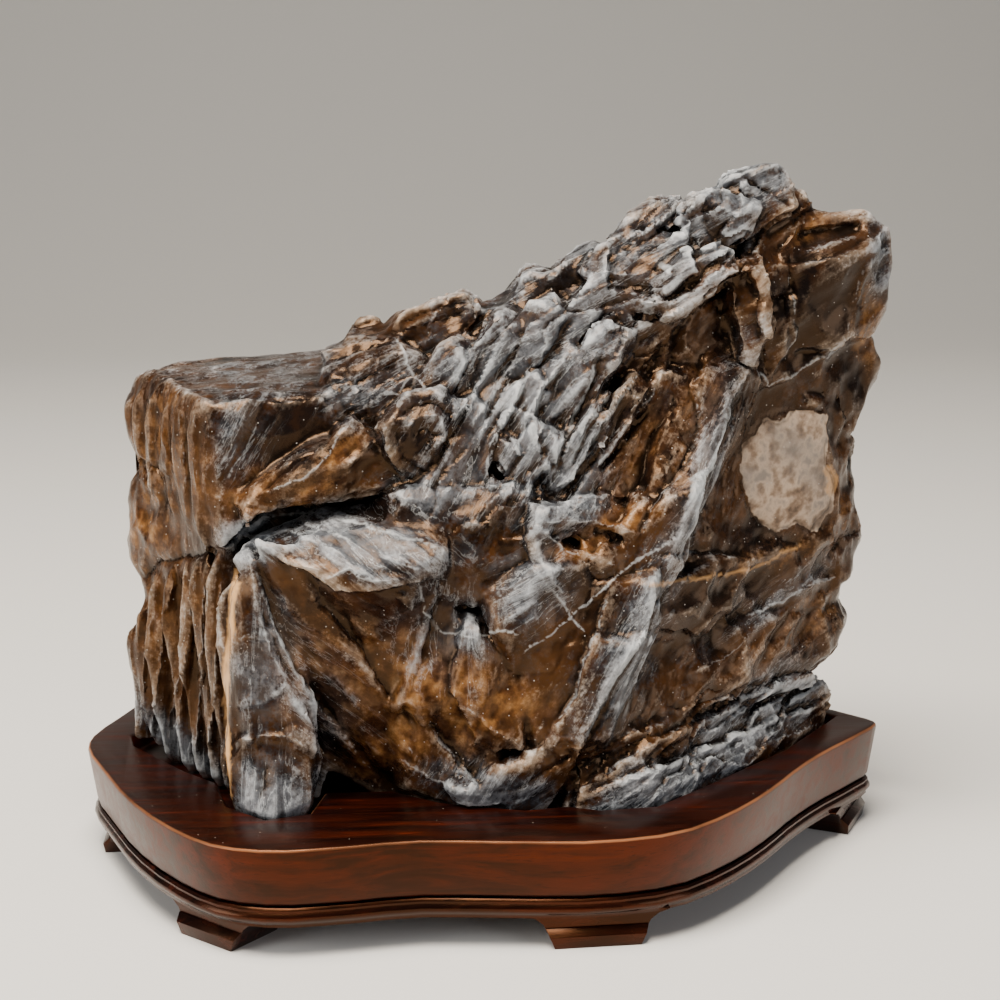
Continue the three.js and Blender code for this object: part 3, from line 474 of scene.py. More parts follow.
PATCH_OUTLINE = [
    (745, 447), (757, 436), (768, 418), (782, 424), (796, 410), (826, 413), (829, 440), (826, 466),
    (835, 480), (832, 506), (812, 530), (796, 522), (776, 533), (760, 522), (748, 506), (741, 476),
    (745, 447),
]
LINES = {
    "front edge of the block": ("step", -0.4, 2.0, 0.35, [
        (124, 370), (162, 372), (190, 392), (215, 405), (250, 400), (285, 401), (320, 395), (335, 415),
    ]),
    "corner wrinkle 1": ("ridge", 0.5, 0.5, 0.5, [(183, 410), (184, 450), (187, 497)]),
    "corner wrinkle 2": ("ridge", 0.5, 0.5, 0.5, [(195, 405), (196, 450), (199, 502)]),
    "corner wrinkle 3": ("ridge", 0.5, 0.5, 0.5, [(208, 413), (207, 460), (211, 515)]),
    "corner wrinkle 4": ("ridge", 0.4, 0.5, 0.4, [(165, 430), (168, 455), (166, 482)]),
    "scratch on the block 1": ("groove", 0.15, 0.5, 0.7, [(242, 410), (232, 445), (216, 474)]),
    "scratch on the block 2": ("groove", 0.15, 0.5, 0.7, [(256, 417), (246, 452), (224, 481)]),
    "scratch on the block 3": ("groove", 0.15, 0.5, 0.5, [(236, 412), (225, 440), (212, 462)]),
    "seam above the wedge": ("groove", 0.8, 0.9, 0, [(336, 428), (315, 446), (286, 470), (258, 495)]),
    "low edge of the wedge": ("step", 0.5, 2.0, 0.4, [
        (406, 489), (380, 496), (330, 511), (280, 505), (252, 504),
    ]),
    "ridge on the wedge": ("ridge", 0.6, 0.8, 0.8, [
        (262, 494), (300, 480), (330, 455), (342, 434), (350, 424),
    ]),
    "right edge of the wedge": ("step", 0.5, 2.0, 0.5, [(350, 422), (380, 431), (391, 460), (406, 488)]),
    "cleft over the lobe": ("groove", 1.0, 0.9, 0, [(131, 461), (155, 468), (164, 480), (168, 500)]),
    "fold on the lobe": ("ridge", 0.6, 0.9, 0.3, [(146, 480), (163, 505), (152, 542)]),
    "cleft under the lobe": ("groove", 1.0, 1.0, 0, [(142, 577), (160, 562), (185, 555), (226, 550)]),
    "flute 1": ("ridge", 0.7, 0.5, 0.5, [(176, 560), (166, 610), (156, 680), (150, 747)]),
    "flute 2": ("ridge", 0.7, 0.5, 0.5, [(195, 560), (190, 620), (182, 690), (178, 760)]),
    "flute 3": ("ridge", 0.6, 0.4, 0.6, [(207, 562), (203, 630), (200, 700), (194, 766)]),
    "flute 4": ("ridge", 0.6, 0.4, 0.6, [(220, 570), (217, 640), (213, 710), (207, 772)]),
    "flute 5": ("ridge", 0.6, 0.6, 0.4, [(154, 612), (146, 655), (143, 730)]),
    "flute 6": ("ridge", 0.5, 0.4, 0.5, [(188, 600), (181, 655), (170, 715), (168, 752)]),
    "right edge of the pillar": ("step", 0.7, 2.2, 0.5, [
        (315, 735), (296, 692), (276, 650), (260, 612), (256, 580),
    ]),
    "fold on the pillar 1": ("ridge", 0.5, 0.9, 0.6, [(233, 641), (250, 634), (266, 636), (276, 650)]),
    "fold on the pillar 2": ("ridge", 0.7, 1.1, 0.4, [(236, 706), (264, 700), (290, 682)]),
    "fold on the pillar 3": ("ridge", 0.8, 1.2, 0.6, [(236, 744), (262, 733), (290, 737), (312, 752)]),
    "toe of the pillar": ("groove", 0.8, 0.9, 0, [(250, 812), (266, 786), (262, 764)]),
    "long diagonal 1": ("step", 0.7, 2.5, 0.7, [
        (380, 782), (352, 745), (318, 705), (292, 662), (268, 610), (250, 552),
    ]),
    "long diagonal 2": ("step", 0.7, 2.5, 0.4, [(398, 708), (360, 652), (328, 612), (292, 566)]),
    "long diagonal 3": ("ridge", 0.5, 0.9, 0.3, [(270, 560), (296, 622), (330, 668), (372, 720)]),
    "rim of the shelf": ("step", 0.7, 2.2, 0.3, [
        (266, 552), (300, 571), (335, 592), (380, 590), (428, 580),
    ]),
    "fold on the shelf 1": ("ridge", 0.7, 0.9, 0.9, [
        (232, 556), (240, 535), (262, 518), (295, 511), (326, 516),
    ]),
    "fold on the shelf 2": ("ridge", 0.6, 0.7, 0.8, [
        (250, 546), (286, 530), (326, 548), (352, 566), (384, 580),
    ]),
    "fold on the shelf 3": ("ridge", 0.7, 0.7, 1.0, [
        (335, 519), (362, 523), (392, 535), (420, 541), (447, 552),
    ]),
    "fold on the shelf 4": ("ridge", 0.6, 0.7, 1.0, [(318, 581), (348, 569), (372, 580), (402, 579)]),
    "fold on the shelf 5": ("ridge", 0.5, 0.6, 0.8, [(366, 549), (396, 563), (424, 571)]),
    "fold on the shelf 6": ("ridge", 0.5, 0.6, 0.8, [(300, 522), (336, 534), (356, 548)]),
    "left of the middle column": ("step", 0.6, 2.2, 0.3, [(398, 712), (416, 662), (430, 628), (436, 590)]),
    "right of the middle column": ("step", -0.5, 2.0, 0.4, [
        (472, 732), (450, 690), (456, 640), (470, 612),
    ]),
    "white thread": ("ridge", 0.2, 0.5, 0.9, [
        (419, 572), (424, 612), (444, 631), (474, 636), (506, 630), (528, 640),
    ]),
    "white vein at the top": ("ridge", 0.3, 0.5, 1.0, [
        (396, 335), (404, 352), (413, 376), (424, 386), (452, 398),
    ]),
    "white vein's branch": ("ridge", 0.2, 0.4, 0.9, [(413, 376), (398, 392), (372, 398)]),
    "ring of the knot": ("groove", 0.9, 0.8, 0.2, [
        (395, 425), (408, 408), (430, 402), (452, 412), (452, 438), (436, 462), (422, 472), (404, 460),
        (395, 425),
    ]),
    "lip of the knot": ("ridge", 0.7, 0.7, 0.3, [
        (404, 430), (418, 416), (440, 418), (443, 436), (428, 456),
    ]),
    "heart of the knot": ("groove", 0.7, 0.7, 0, [(412, 440), (424, 428), (434, 436), (424, 447)]),
    "cap's underside": ("groove", 0.7, 0.8, 0.2, [(330, 372), (356, 382), (392, 366), (400, 350)]),
    "bedding of the cap 1": ("ridge", 0.4, 0.6, 0.3, [(340, 356), (366, 346), (392, 340)]),
    "bedding of the cap 2": ("groove", 0.6, 0.5, 0, [(398, 322), (430, 311), (466, 300)]),
    "bedding of the cap 3": ("groove", 0.5, 0.5, 0, [(400, 331), (436, 321), (474, 308)]),
    "crest 1": ("step", 0.6, 1.8, 0.5, [(622, 238), (648, 236), (676, 226), (688, 236)]),
    "crest 2": ("step", 0.8, 2.2, 0.3, [(664, 298), (700, 272), (690, 240), (685, 205)]),
    "crest 3": ("step", -0.8, 2.5, 0.4, [
        (610, 250), (606, 288), (650, 297), (676, 301), (720, 266), (750, 270),
    ]),
    "peak 1": ("step", 0.6, 1.8, 0.5, [(712, 240), (700, 214), (716, 190), (744, 180)]),
    "peak 2": ("groove", 0.7, 0.6, 0, [(740, 172), (762, 190), (796, 206)]),
    "peak 3": ("ridge", 0.5, 0.7, 0.8, [(690, 216), (720, 208), (742, 214), (760, 200)]),
    "brown hollow's left wall": ("step", 0.8, 2.2, 0.3, [(664, 372), (672, 330), (700, 300), (742, 268)]),
    "brown hollow's right wall": ("step", -0.9, 2.2, 0.3, [(764, 348), (760, 300), (746, 266)]),
    "roof edge": ("ridge", 0.5, 0.8, 0.4, [(782, 232), (808, 219), (846, 216), (888, 226)]),
    "under the roof": ("step", -0.8, 2.0, 0.3, [(786, 264), (822, 262), (852, 250), (876, 236)]),
    "ridge down the right block": ("ridge", 0.8, 0.8, 0.5, [
        (876, 240), (858, 286), (848, 334), (872, 336),
    ]),
    "left edge of the right block": ("step", 0.7, 2.0, 0.6, [
        (776, 370), (796, 338), (792, 300), (786, 270),
    ]),
    "vein under the right block": ("ridge", 0.5, 0.7, 0.8, [
        (750, 360), (768, 386), (798, 371), (826, 358), (852, 334),
    ]),
    "spine's right edge": ("step", 0.9, 2.6, 0.6, [
        (656, 604), (680, 565), (700, 500), (712, 458), (730, 410), (756, 360),
    ]),
    "spine's left edge": ("step", -0.6, 2.2, 0.6, [
        (640, 552), (650, 510), (690, 460), (700, 428), (694, 386), (712, 346),
    ]),
    "grey layer 1": ("step", 0.6, 1.6, 0.9, [(488, 474), (496, 440), (520, 390), (536, 366)]),
    "grey layer 2": ("step", 0.7, 1.8, 1.0, [(550, 472), (534, 430), (538, 402), (562, 364)]),
    "grey layer 3": ("step", 0.7, 1.8, 1.0, [(548, 476), (568, 432), (586, 392), (602, 350)]),
    "grey layer 4": ("step", 0.7, 1.8, 0.9, [(566, 470), (588, 430), (616, 382)]),
    "grey layer 5": ("step", 0.8, 2.0, 0.8, [(540, 496), (572, 480), (616, 404), (642, 366)]),
    "grey layer 6": ("ridge", 0.4, 0.5, 0.9, [(516, 452), (530, 410), (556, 372)]),
    "grey layer 7": ("ridge", 0.4, 0.5, 0.8, [(470, 432), (486, 400), (520, 362)]),
    "grey layer 8": ("ridge", 0.4, 0.5, 0.8, [(452, 424), (478, 382), (520, 342), (560, 322)]),
    "dark face's edge": ("step", -0.6, 2.2, 0.5, [(576, 492), (620, 432), (656, 392), (650, 370)]),
    "tan strip": ("groove", 0.6, 0.8, 0.2, [(676, 372), (670, 420), (690, 446), (676, 486)]),
    "fan 1": ("ridge", 0.8, 1.0, 0.2, [(534, 516), (580, 500), (642, 494)]),
    "fan 2": ("ridge", 0.8, 1.0, 0.6, [(530, 521), (588, 520), (640, 536)]),
    "fan 3": ("ridge", 0.8, 1.0, 0.7, [(530, 524), (572, 552), (620, 566)]),
    "fan 4": ("ridge", 0.7, 0.9, 0.7, [(526, 524), (544, 566), (566, 600)]),
    "fan's gap 1": ("groove", 1.2, 1.2, 0, [(548, 536), (572, 532), (588, 540)]),
    "fan's gap 2": ("groove", 1.2, 1.2, 0, [(592, 528), (612, 534), (626, 548)]),
    "long thread 1": ("ridge", 0.3, 0.5, 0.9, [(516, 658), (552, 631), (600, 594), (632, 565), (692, 528)]),
    "long thread 2": ("ridge", 0.3, 0.5, 0.8, [(528, 560), (560, 600), (590, 642)]),
    "spine foot's left": ("step", -0.6, 2.0, 0.7, [(552, 732), (574, 698), (590, 642), (612, 584)]),
    "spine foot's right": ("step", 0.8, 2.2, 0.7, [(578, 756), (610, 690), (646, 637), (657, 575)]),
    "dark plate's top": ("step", -0.5, 1.8, 0.5, [(655, 562), (690, 552), (750, 560)]),
    "dark plate's right": ("step", 0.5, 1.8, 0.4, [(700, 634), (738, 604), (750, 562)]),
    "dark plate's foot": ("step", 0.5, 1.8, 0.3, [(656, 628), (700, 636), (744, 606)]),
    "orange thread": ("ridge", 0.2, 0.4, 0, [(652, 586), (700, 578), (748, 571), (800, 545)]),
    "right thread 1": ("ridge", 0.5, 0.6, 0.9, [(742, 618), (770, 606), (800, 590), (842, 572)]),
    "right thread 2": ("ridge", 0.4, 0.6, 0.6, [(694, 674), (735, 652), (768, 616)]),
    "right thread 3": ("ridge", 0.3, 0.5, 0.5, [(730, 690), (770, 672), (812, 640)]),
    "edge of the patch": ("groove", 0.5, 0.6, 0, PATCH_OUTLINE),
    "right lobe 1": ("groove", 1.0, 0.9, 0, [(838, 392), (850, 420), (842, 450)]),
    "right lobe 2": ("groove", 1.0, 0.9, 0, [(826, 560), (846, 540), (858, 530)]),
    "plate 1": ("step", 0.8, 1.8, 0.6, [(803, 674), (762, 690), (714, 714), (650, 742), (578, 790)]),
    "plate 2": ("step", 0.8, 1.8, 0.8, [(829, 702), (780, 716), (720, 742), (650, 770), (590, 792)]),
    "plate 3": ("step", 0.6, 1.5, 0.7, [(826, 722), (770, 742), (716, 766), (662, 790)]),
    "plate's cross break": ("step", 0.7, 1.6, 0.4, [(688, 754), (703, 712), (746, 688)]),
    "nose line 1": ("groove", 0.6, 0.4, 0.3, [(484, 794), (520, 788), (552, 768), (574, 752)]),
    "nose line 2": ("groove", 0.6, 0.4, 0.3, [(500, 800), (534, 796), (566, 778)]),
    "nose's left": ("step", 0.7, 1.8, 0.6, [(484, 794), (458, 762), (436, 734), (416, 708)]),
    "low ridge 1": ("ridge", 0.6, 0.8, 0.7, [(396, 757), (432, 778), (476, 794)]),
    "low ridge 2": ("ridge", 0.6, 0.9, 0.6, [(456, 704), (494, 728), (538, 762)]),
    "low ridge 3": ("ridge", 0.6, 0.8, 0.7, [(404, 744), (420, 760), (414, 780)]),
    "foot's cleft": ("groove", 1.2, 0.9, 0, [(574, 804), (576, 780), (580, 756)]),
}


def along_line(seen, line):
    """Distance in pixels from a run of points, below 0 on its left, and how far along it from 0 to 1."""
    nearest = np.full(len(seen), 99.0)
    side = np.ones(len(seen))
    part_way = np.zeros(len(seen))
    for i, (start, end) in enumerate(zip(line, line[1:])):
        start, end = np.array(start), np.array(end)
        run = end - start
        offset = seen - start
        part = np.clip(offset @ run / (run @ run), 0, 1)
        far = np.linalg.norm(offset - part[:, None] * run, axis=1)
        closer = far < nearest
        nearest = np.where(closer, far, nearest)
        side = np.where(closer, np.sign(offset[:, 1] * run[0] - offset[:, 0] * run[1]), side)
        part_way = np.where(closer, (i + part) / (len(line) - 1), part_way)
    return nearest * side, part_way


def inside(seen, outline):
    """Whether each point is seen inside an outline: a line from it crosses it an odd number of times."""
    within = np.zeros(len(seen), bool)
    for (x0, y0), (x1, y1) in zip(outline, outline[1:]):
        if y0 != y1:
            spans = (y0 > seen[:, 1]) != (y1 > seen[:, 1])
            within ^= spans & (seen[:, 0] < x0 + (x1 - x0) * (seen[:, 1] - y0) / (y1 - y0))
    return within


# LINE_WANDER is in pixels, REACH in widths of a line, and the others in mm
LINE_RELIEF = 1.1
LINE_WANDER = 2.5
PALE_HALF_WIDTH = 0.35
STEP_HALF_WIDTH = 0.3
FARTHEST_BACK = 14
REACH = 8


def drawn(place, normal):
    """The height in mm that the lines give each point, and how much pale line lies on it: pale veins and
    painted highlights.
    """
    seen = sighted(place)
    seen = seen + LINE_WANDER * np.stack([rough(place / 3, 301), rough(place / 3, 311)], 1)
    to_camera = np.array(CAMERA_PLACE) / MM - place
    faces = np.einsum("ij,ij->i", normal, to_camera) / np.linalg.norm(to_camera, axis=1)
    visible = np.clip(faces / 0.25, 0, 1) * (place[:, 1] < FARTHEST_BACK)
    height = np.zeros(len(place))
    pale = np.zeros(len(place))
    for kind, size, width, paleness_and_highlight, line in LINES.values():
        margin = REACH * width / MM_PER_PIXEL
        low, high = np.min(line, 0) - margin, np.max(line, 0) + margin
        near = ((seen > low) & (seen < high)).all(1) & (visible > 0)
        far, part_way = along_line(seen[near], line)
        far = far * MM_PER_PIXEL
        ends = np.clip(np.minimum(part_way, 1 - part_way) * 6 + 0.3, 0, 1)
        if kind == "step":
            shape = -np.tanh(far / STEP_HALF_WIDTH) * np.exp(-np.abs(far) / (2 * width))
        else:
            shape = np.exp(-np.abs(far) / width) * (1 if kind == "ridge" else -1)
        height[near] += LINE_RELIEF * size * shape * ends
        line_share = 0.8 * paleness_and_highlight * np.exp(-(far / PALE_HALF_WIDTH) ** 2) * ends
        pale[near] = np.maximum(pale[near], line_share)
    return height * visible, pale * visible


boldest = max(abs(line[1]) for line in LINES.values())
print(len(LINES), "lines, raised or cut at most", round(LINE_RELIEF * boldest, 2), "mm")

# %% Carve the patterns, then the lines
LEDGES, SCOOPS, FINE_SCOOPS = 0, 1, 2
for kind, title in ((SCOOPS, "scoops"), (LEDGES, "ledges"), (FINE_SCOOPS, "fine scoops")):
    moved = carve(stone.data, kind)
    print(title, "reach", round(moved.min(), 2), "to", round(moved.max(), 2), "mm")
    if kind == SCOOPS:
        line_height, _ = drawn(*points_of(stone.data))
        move(stone.data, line_height)

# %% [markdown]
# Thinning the skin
#
# Flat places don't need as many faces as wrinkled ones. Decimate joins faces where that changes the shape
# least, which keeps the fine ridges and brings the count down to what a reusable part may have. The side
# that the picture shows has the finest lines, so a vertex group lets the other side be thinned more.

# %% Decimate and smooth shading
MOST_TRIANGLES = 192000
CREASE = 34

place, normal = points_of(stone.data)
to_camera = np.array(CAMERA_PLACE) / MM - place
turned_away = np.einsum("ij,ij->i", normal, to_camera) / np.linalg.norm(to_camera, axis=1) < -0.1
thinned = stone.vertex_groups.new(name="thinned")
thinned.add(np.flatnonzero(turned_away).tolist(), 1.0, "REPLACE")
thinned.add(np.flatnonzero(~turned_away).tolist(), 0.12, "REPLACE")

triangles = sum(len(face.vertices) - 2 for face in stone.data.polygons)
thin = stone.modifiers.new("fewer faces", "DECIMATE")
thin.vertex_group = "thinned"
thin.vertex_group_factor = 1.0
thin.ratio = min(1.0, MOST_TRIANGLES / triangles)
settled(stone)
stone.data.polygons.foreach_set("use_smooth", [True] * len(stone.data.polygons))
stone.data.set_sharp_from_angle(angle=math.radians(CREASE))
print("from", triangles, "to", sum(len(face.vertices) - 2 for face in stone.data.polygons), "triangles")


# %% [markdown]
# Ridges and hollows as attributes
#
# On the real stone, pale dust and wear sit on every ridge and edge. The material also paints shade into
# the hollows and a highlight on the bulges and sharp ridges. All of these follow the shape, so they are
# worked out from it: a point that stands out from the mean of its neighbours is on a ridge. Comparing with
# near neighbours finds fine ridges, and with a wide smoothed copy finds broad ones. The results are stored
# on the points for the material to read.


# %% Measure how each point stands out
def standing_out(mesh, passes):
    """How far each point lies outside the smoothed stone, in mm."""
    place, normal = points_of(mesh)
    ends, count = neighbours(mesh)
    smooth = softened(place, ends, count, passes)
    return np.einsum("ij,ij->i", place - smooth, normal)


ends, count = neighbours(stone.data)
fine = softened(standing_out(stone.data, 3)[:, None], ends, count, 2)[:, 0]
broad = standing_out(stone.data, 30)
print("fine ridges to", round(np.percentile(fine, 99), 2), "mm")
print("broad ridges to", round(np.percentile(broad, 99), 2), "mm")

# %% [markdown]
# Colours of the places
#
# The stone isn't one colour. Its ground is a dark brown patina, nearly black in the dark spots. Some of
# those are dark stone, such as the knot, and some are painted shade: in the seam under the wedge, under the
# shelf, in the gap at the foot and over the right block. Slate grey lies on what faces up, a grey-white dust
# on the middle, the shelf and the spine, orange-brown stains in the hollows, a flat tan patch at the right
# where a piece came away, and one cream vein runs down the left corner. Each is painted as soft spots,
# given by their middles and half sizes in mm.

# %% Paint the spots
# middle x and z, half width and half height in mm, turn in degrees, strength
DUST_SPOTS = [
    (2, 94, 14, 14, 50, 0.75), (-26, 71, 17, 4, -12, 0.75), (-10, 82, 12, 5, 30, 0.7),
    (41, 84, 4, 18, -22, 0.6), (25, 50, 5, 16, -24, 0.65), (-46, 71, 5, 4, 0, 0.6),
    (45, 26, 26, 5, 12, 0.75), (50, 134, 12, 5, 30, 0.6), (-43, 24, 7, 7, 0, 0.6),
    (-2, 24, 10, 4, 0, 0.6), (-46, 101, 20, 3, 0, 0.35), (14, 111, 28, 10, 32, 0.6),
    (-62, 23, 12, 4, -30, 0.6), (-12, 56, 7, 10, 0, 0.55), (-43, 48, 5, 12, 0, 0.5),
    (79, 118, 3, 10, 0, 0.5), (14, 84, 7, 12, -30, 0.6), (6, 62, 8, 5, 40, 0.5),
    (-34, 42, 7, 11, 30, 0.45), (56, 34, 12, 4, 20, 0.4), (-22, 98, 10, 5, 20, 0.4),
    (36, 122, 14, 7, 32, 0.6), (58, 52, 14, 3, 20, 0.4), (-8, 94, 10, 6, 0, 0.5),
    (-47, 90, 5, 8, -20, 0.3),
]
STAIN_SPOTS = [
    (-64, 82, 12, 14, 0, 0.5), (-70, 66, 8, 8, 0, 0.7), (-45, 78, 8, 6, 20, 0.5),
    (-36, 78, 7, 2, 35, 0.8), (-30, 86, 9, 2, 35, 0.7), (25, 84, 6, 9, -30, 0.45),
    (40, 96, 4, 9, -20, 0.4), (38, 84, 4, 12, -20, 0.45), (14, 69, 6, 2, 10, 0.8),
    (22, 73, 7, 2, 15, 0.8), (-6, 40, 7, 9, 0, 0.9), (-16, 46, 7, 9, 10, 0.9), (66, 126, 10, 2, 20, 0.8),
    (-18, 32, 5, 5, 0, 0.8), (78, 104, 4, 9, 20, 0.7), (44, 118, 6, 3, 0, 0.6), (62, 44, 16, 6, 20, 0.45),
    (-64, 52, 12, 18, 0, 0.4), (54, 60, 14, 4, 0, 0.4), (-30, 46, 10, 15, 30, 0.65),
    (-26, 29, 5, 5, 0, 0.9), (4, 40, 6, 5, 0, 0.7), (30, 100, 7, 3, 20, 0.3), (74, 66, 5, 8, 0, 0.5),
]
# dark spots: dark stone such as the knot, and painted shade in the seam under the wedge, under the shelf, in
# the gap at the foot and over the right block
DARK_AND_SHADE_SPOTS = [
    (-39, 89, 7, 9, 0, 0.85), (67, 110, 11, 12, 0, 1.0), (-15, 61, 10, 6, 0, 0.75),
    (-27, 24, 6, 6, 0, 1.0), (0, 86, 3, 4, 0, 0.9), (46, 58, 12, 7, 10, 0.9), (-30, 76, 18, 2, 2, 1.0),
    (30, 112, 9, 6, 0, 0.7), (75, 93, 7, 9, 0, 0.85), (10, 116, 12, 5, 30, 0.6), (-22, 102, 9, 4, 0, 0.6),
    (50, 92, 8, 12, 30, 0.7), (-30, 84, 8, 4, 30, 0.6), (-14, 89, 7, 7, 0, 1.0), (26, 92, 6, 8, 40, 0.7),
    (60, 60, 10, 5, 0, 0.5), (-50, 103, 20, 3, 0, 0.5), (-48, 66, 5, 2, 0, 0.5), (16, 58, 5, 5, 0, 0.6),
    (70, 44, 8, 8, 0, 0.5),
]
VEIN_LINE = [(-49.2, 63.5), (-50.6, 52), (-51.3, 45), (-51.8, 38), (-51.6, 30), (-51.2, 23)]
# pixels of the picture, for marks that show only as colour
ORANGE_CHIP = [(828, 470), (834, 480), (831, 490)]
WHITE_CHIP = [(662, 265), (668, 269)]


def painted(place, spots, seed):
    """The strongest of several soft spots at each point, with ragged edges."""
    result = np.zeros(len(place))
    ragged = 0.35 * rough(place / 6, seed)
    for x, z, wide, high, angle, strength in spots:
        c, s = math.cos(math.radians(angle)), math.sin(math.radians(angle))
        across, up = place[:, 0] - x, place[:, 2] - z
        far = np.hypot((across * c + up * s) / wide, (-across * s + up * c) / high) + ragged
        result = np.maximum(result, strength * np.clip((1.6 - far) / 1.2, 0, 1))
    return result


def beside(spot, line):
    """Distance of spots in a plane from a line of points in it."""
    nearest = np.full(len(spot), 99.0)
    for start, end in zip(line, line[1:]):
        start, end = np.array(start), np.array(end)
        run = end - start
        part = np.clip((spot - start) @ run / (run @ run), 0, 1)
        nearest = np.minimum(nearest, np.linalg.norm(spot - start - part[:, None] * run, axis=1))
    return nearest


def store(mesh, name, red, green, blue):
    """Keeps three values from 0 to 1 on the points, as a colour attribute."""
    values = np.stack([red, green, blue, np.ones(len(red))], 1)
    layer = mesh.attributes.new(name, "FLOAT_COLOR", "POINT")
    layer.data.foreach_set("color", np.clip(values, 0, 1).ravel())


PAINTED_BACK_TO = 8

place, normal = points_of(stone.data)
seen_from_front = place[:, 1] < PAINTED_BACK_TO
dust = np.where(seen_from_front, painted(place, DUST_SPOTS, 5), 0.06 + 0.4 * rough(place / 16, 8))
upward = np.clip(normal[:, 2], 0, 1)
stain = np.where(seen_from_front, painted(place, STAIN_SPOTS, 15), 0.3 + 0.4 * rough(place / 12, 18))
# dark: the dark spots in front, partly painted shade; a random dark tone behind
dark = np.where(seen_from_front, painted(place, DARK_AND_SHADE_SPOTS, 25), 0.5 + 0.5 * rough(place / 18, 28))
patch = inside(sighted(place) + 3 * rough(place / 4, 41)[:, None], PATCH_OUTLINE) * seen_from_front
patch = softened(patch[:, None].astype(float), *neighbours(stone.data), 2)[:, 0]
wander = rough(place / 4, 3)[:, None]
vein = np.clip((0.8 - beside(place[:, [0, 2]] + 0.4 * wander, VEIN_LINE)) / 0.4, 0, 1)
vein *= np.clip(-4 * normal[:, 1] - 0.2, 0, 1)
seen = sighted(place)
for line, width in ((LINES["orange thread"][-1], 1.7), (ORANGE_CHIP, 6)):
    vein = np.maximum(vein, 0.5 * np.clip(width - beside(seen + 1.5 * wander, line), 0, 1) * seen_from_front)
white_chip = np.clip(4.5 - beside(seen, WHITE_CHIP), 0, 1) * seen_from_front
table = shares(place)
lay_of = np.array([spot[4] for spot in PLACES.values()])
steep = table[:, (lay_of > 45) & (lay_of < 75)].sum(1)
upright = table[:, (lay_of >= 75) & (lay_of < 120)].sum(1)
shallow = table[:, lay_of <= 45].sum(1)
store(stone.data, "lay", steep, upright, shallow)
store(stone.data, "relief", 0.5 + fine * 4, 0.5 + broad * 0.6, upward)
# the third value is the dark spots, partly painted shade
store(stone.data, "tints_and_shade", dust, stain, dark)
_, pale_line = drawn(place, normal)
# the third value holds the pale lines: pale veins, and painted highlights along ridges and steps
store(stone.data, "marks", patch, vein, np.maximum(pale_line, white_chip))
print("patch covers", round(float((patch > 0.5).mean() * 100), 1), "% of the points")


# %% [markdown]
# The stone's finish, and its patterns
#
# This is a hard black limestone with a brown weathering rind, worn smooth and slightly waxed by hands.
# Its colour is built up in the order in which it came about: rind, stain, dust, rubbed lines, and marks.
# Everything that the colours read is gathered first. The shape and the painted spots come from the
# attributes, and noises of several grains, from 14 mm clouds to half a millimetre of grit, break them up.
# Striations follow the layers, so their direction changes with the part of the stone.


# %% Patterns finer than the skin
def split(add, name):
    """The three values of an attribute on the stone's points."""
    return list(add("SeparateColor", add("Attribute", attribute_name=name)).node.outputs)


def drawn_out(add, place, angle, spacing, stretch, **look):
    """Noise stretched along an angle over the front of the stone, spacing in mm."""
    run = add("Mapping", place, rotation=(0, math.radians(-angle), 0), scale=stretch, vector_type="TEXTURE")
    return add("TexNoise", run, scale=1 / (spacing * MM), **look)


STREAKS = {"stretch": (8, 3, 1), "detail": 6.0, "roughness": 0.6, "distortion": 0.5}
CRAGS = {"stretch": (3.5, 1.5, 1), "detail": 5.0, "roughness": 0.5, "distortion": 0.3,
         "noise_type": "RIDGED_MULTIFRACTAL", "normalize": True}


def specks(add, place, spacing, size, share):
    """Tiny dots in some of the cells of a scatter, spacing in mm, size as a part of it."""
    cells = add("TexVoronoi", place, scale=1 / (spacing * MM))
    dot = add("range", cells, size, size * 0.6)
    pick = add("SeparateColor", cells.node.outputs["Color"])
    return add("times", dot, add("range", pick, 1 - share, 1.01 - share))


def stone_patterns(add):
    """All that the stone's colours read, by name."""
    at = types.SimpleNamespace()
    at.place = add("TexCoord", out="Object")
    sharpness, at.bulge, at.upward = split(add, "relief")
    # at.dark is the dark spots, partly painted shade
    dust_paint, at.stained, at.dark = split(add, "tints_and_shade")
    at.light = add("minus", 1.0, at.dark)
    at.dusty = add("times", dust_paint, add("range", at.light, 0, 1, 0.45, 1))
    at.patch, at.vein, at.pale_line = split(add, "marks")
    steep, at.upright, shallow = split(add, "lay")
    at.ridge_line = add("range", sharpness, 0.66, 0.98)
    at.groove = add("range", sharpness, 0.45, 0.15)
    at.bulging = add("range", at.bulge, 0.5, 0.9)
    at.hollow = add("range", at.bulge, 0.5, 0.1)

    at.cloud = add("TexNoise", at.place, scale=1 / (14 * MM), detail=6.0)
    at.mottle = add("TexNoise", at.place, scale=1 / (3 * MM), detail=8.0)
    at.grit = add("TexNoise", at.place, scale=1 / (0.5 * MM), detail=3.0)
    at.grain = add("TexNoise", at.place, scale=1 / (0.9 * MM), detail=9.0, roughness=0.7)

    elsewhere = add("minus", 1.0, add("plus", steep, add("plus", at.upright, shallow)))
    at.streak = add("times", drawn_out(add, at.place, 58, 2.2, **STREAKS), steep)
    for angle, spacing, share in ((87, 2.4, at.upright), (28, 2.2, shallow), (140, 2.4, elsewhere)):
        lines = drawn_out(add, at.place, angle, spacing, **STREAKS)
        at.streak = add("plus", at.streak, add("times", lines, share))
    crag = add("times", drawn_out(add, at.place, 60, 3.0, **CRAGS), add("plus", steep, at.upright))
    low_crag = add("times", drawn_out(add, at.place, 25, 3.4, **CRAGS), add("plus", shallow, elsewhere))
    at.crag = add("plus", crag, low_crag)
    at.thread = add("range", add("size", add("minus", at.streak, 0.52)), 0.012, 0.003)
    crisp = add("times", add("minus", at.grain, 0.5), 1.1)
    at.crisp = add("plus", crisp, add("minus", at.streak, 0.5))
    return at


limestone, add = new_material("weathered_limestone")
at = stone_patterns(add)
print("patterns to read:", len(vars(at)), "made of", len(limestone.node_tree.nodes), "nodes")
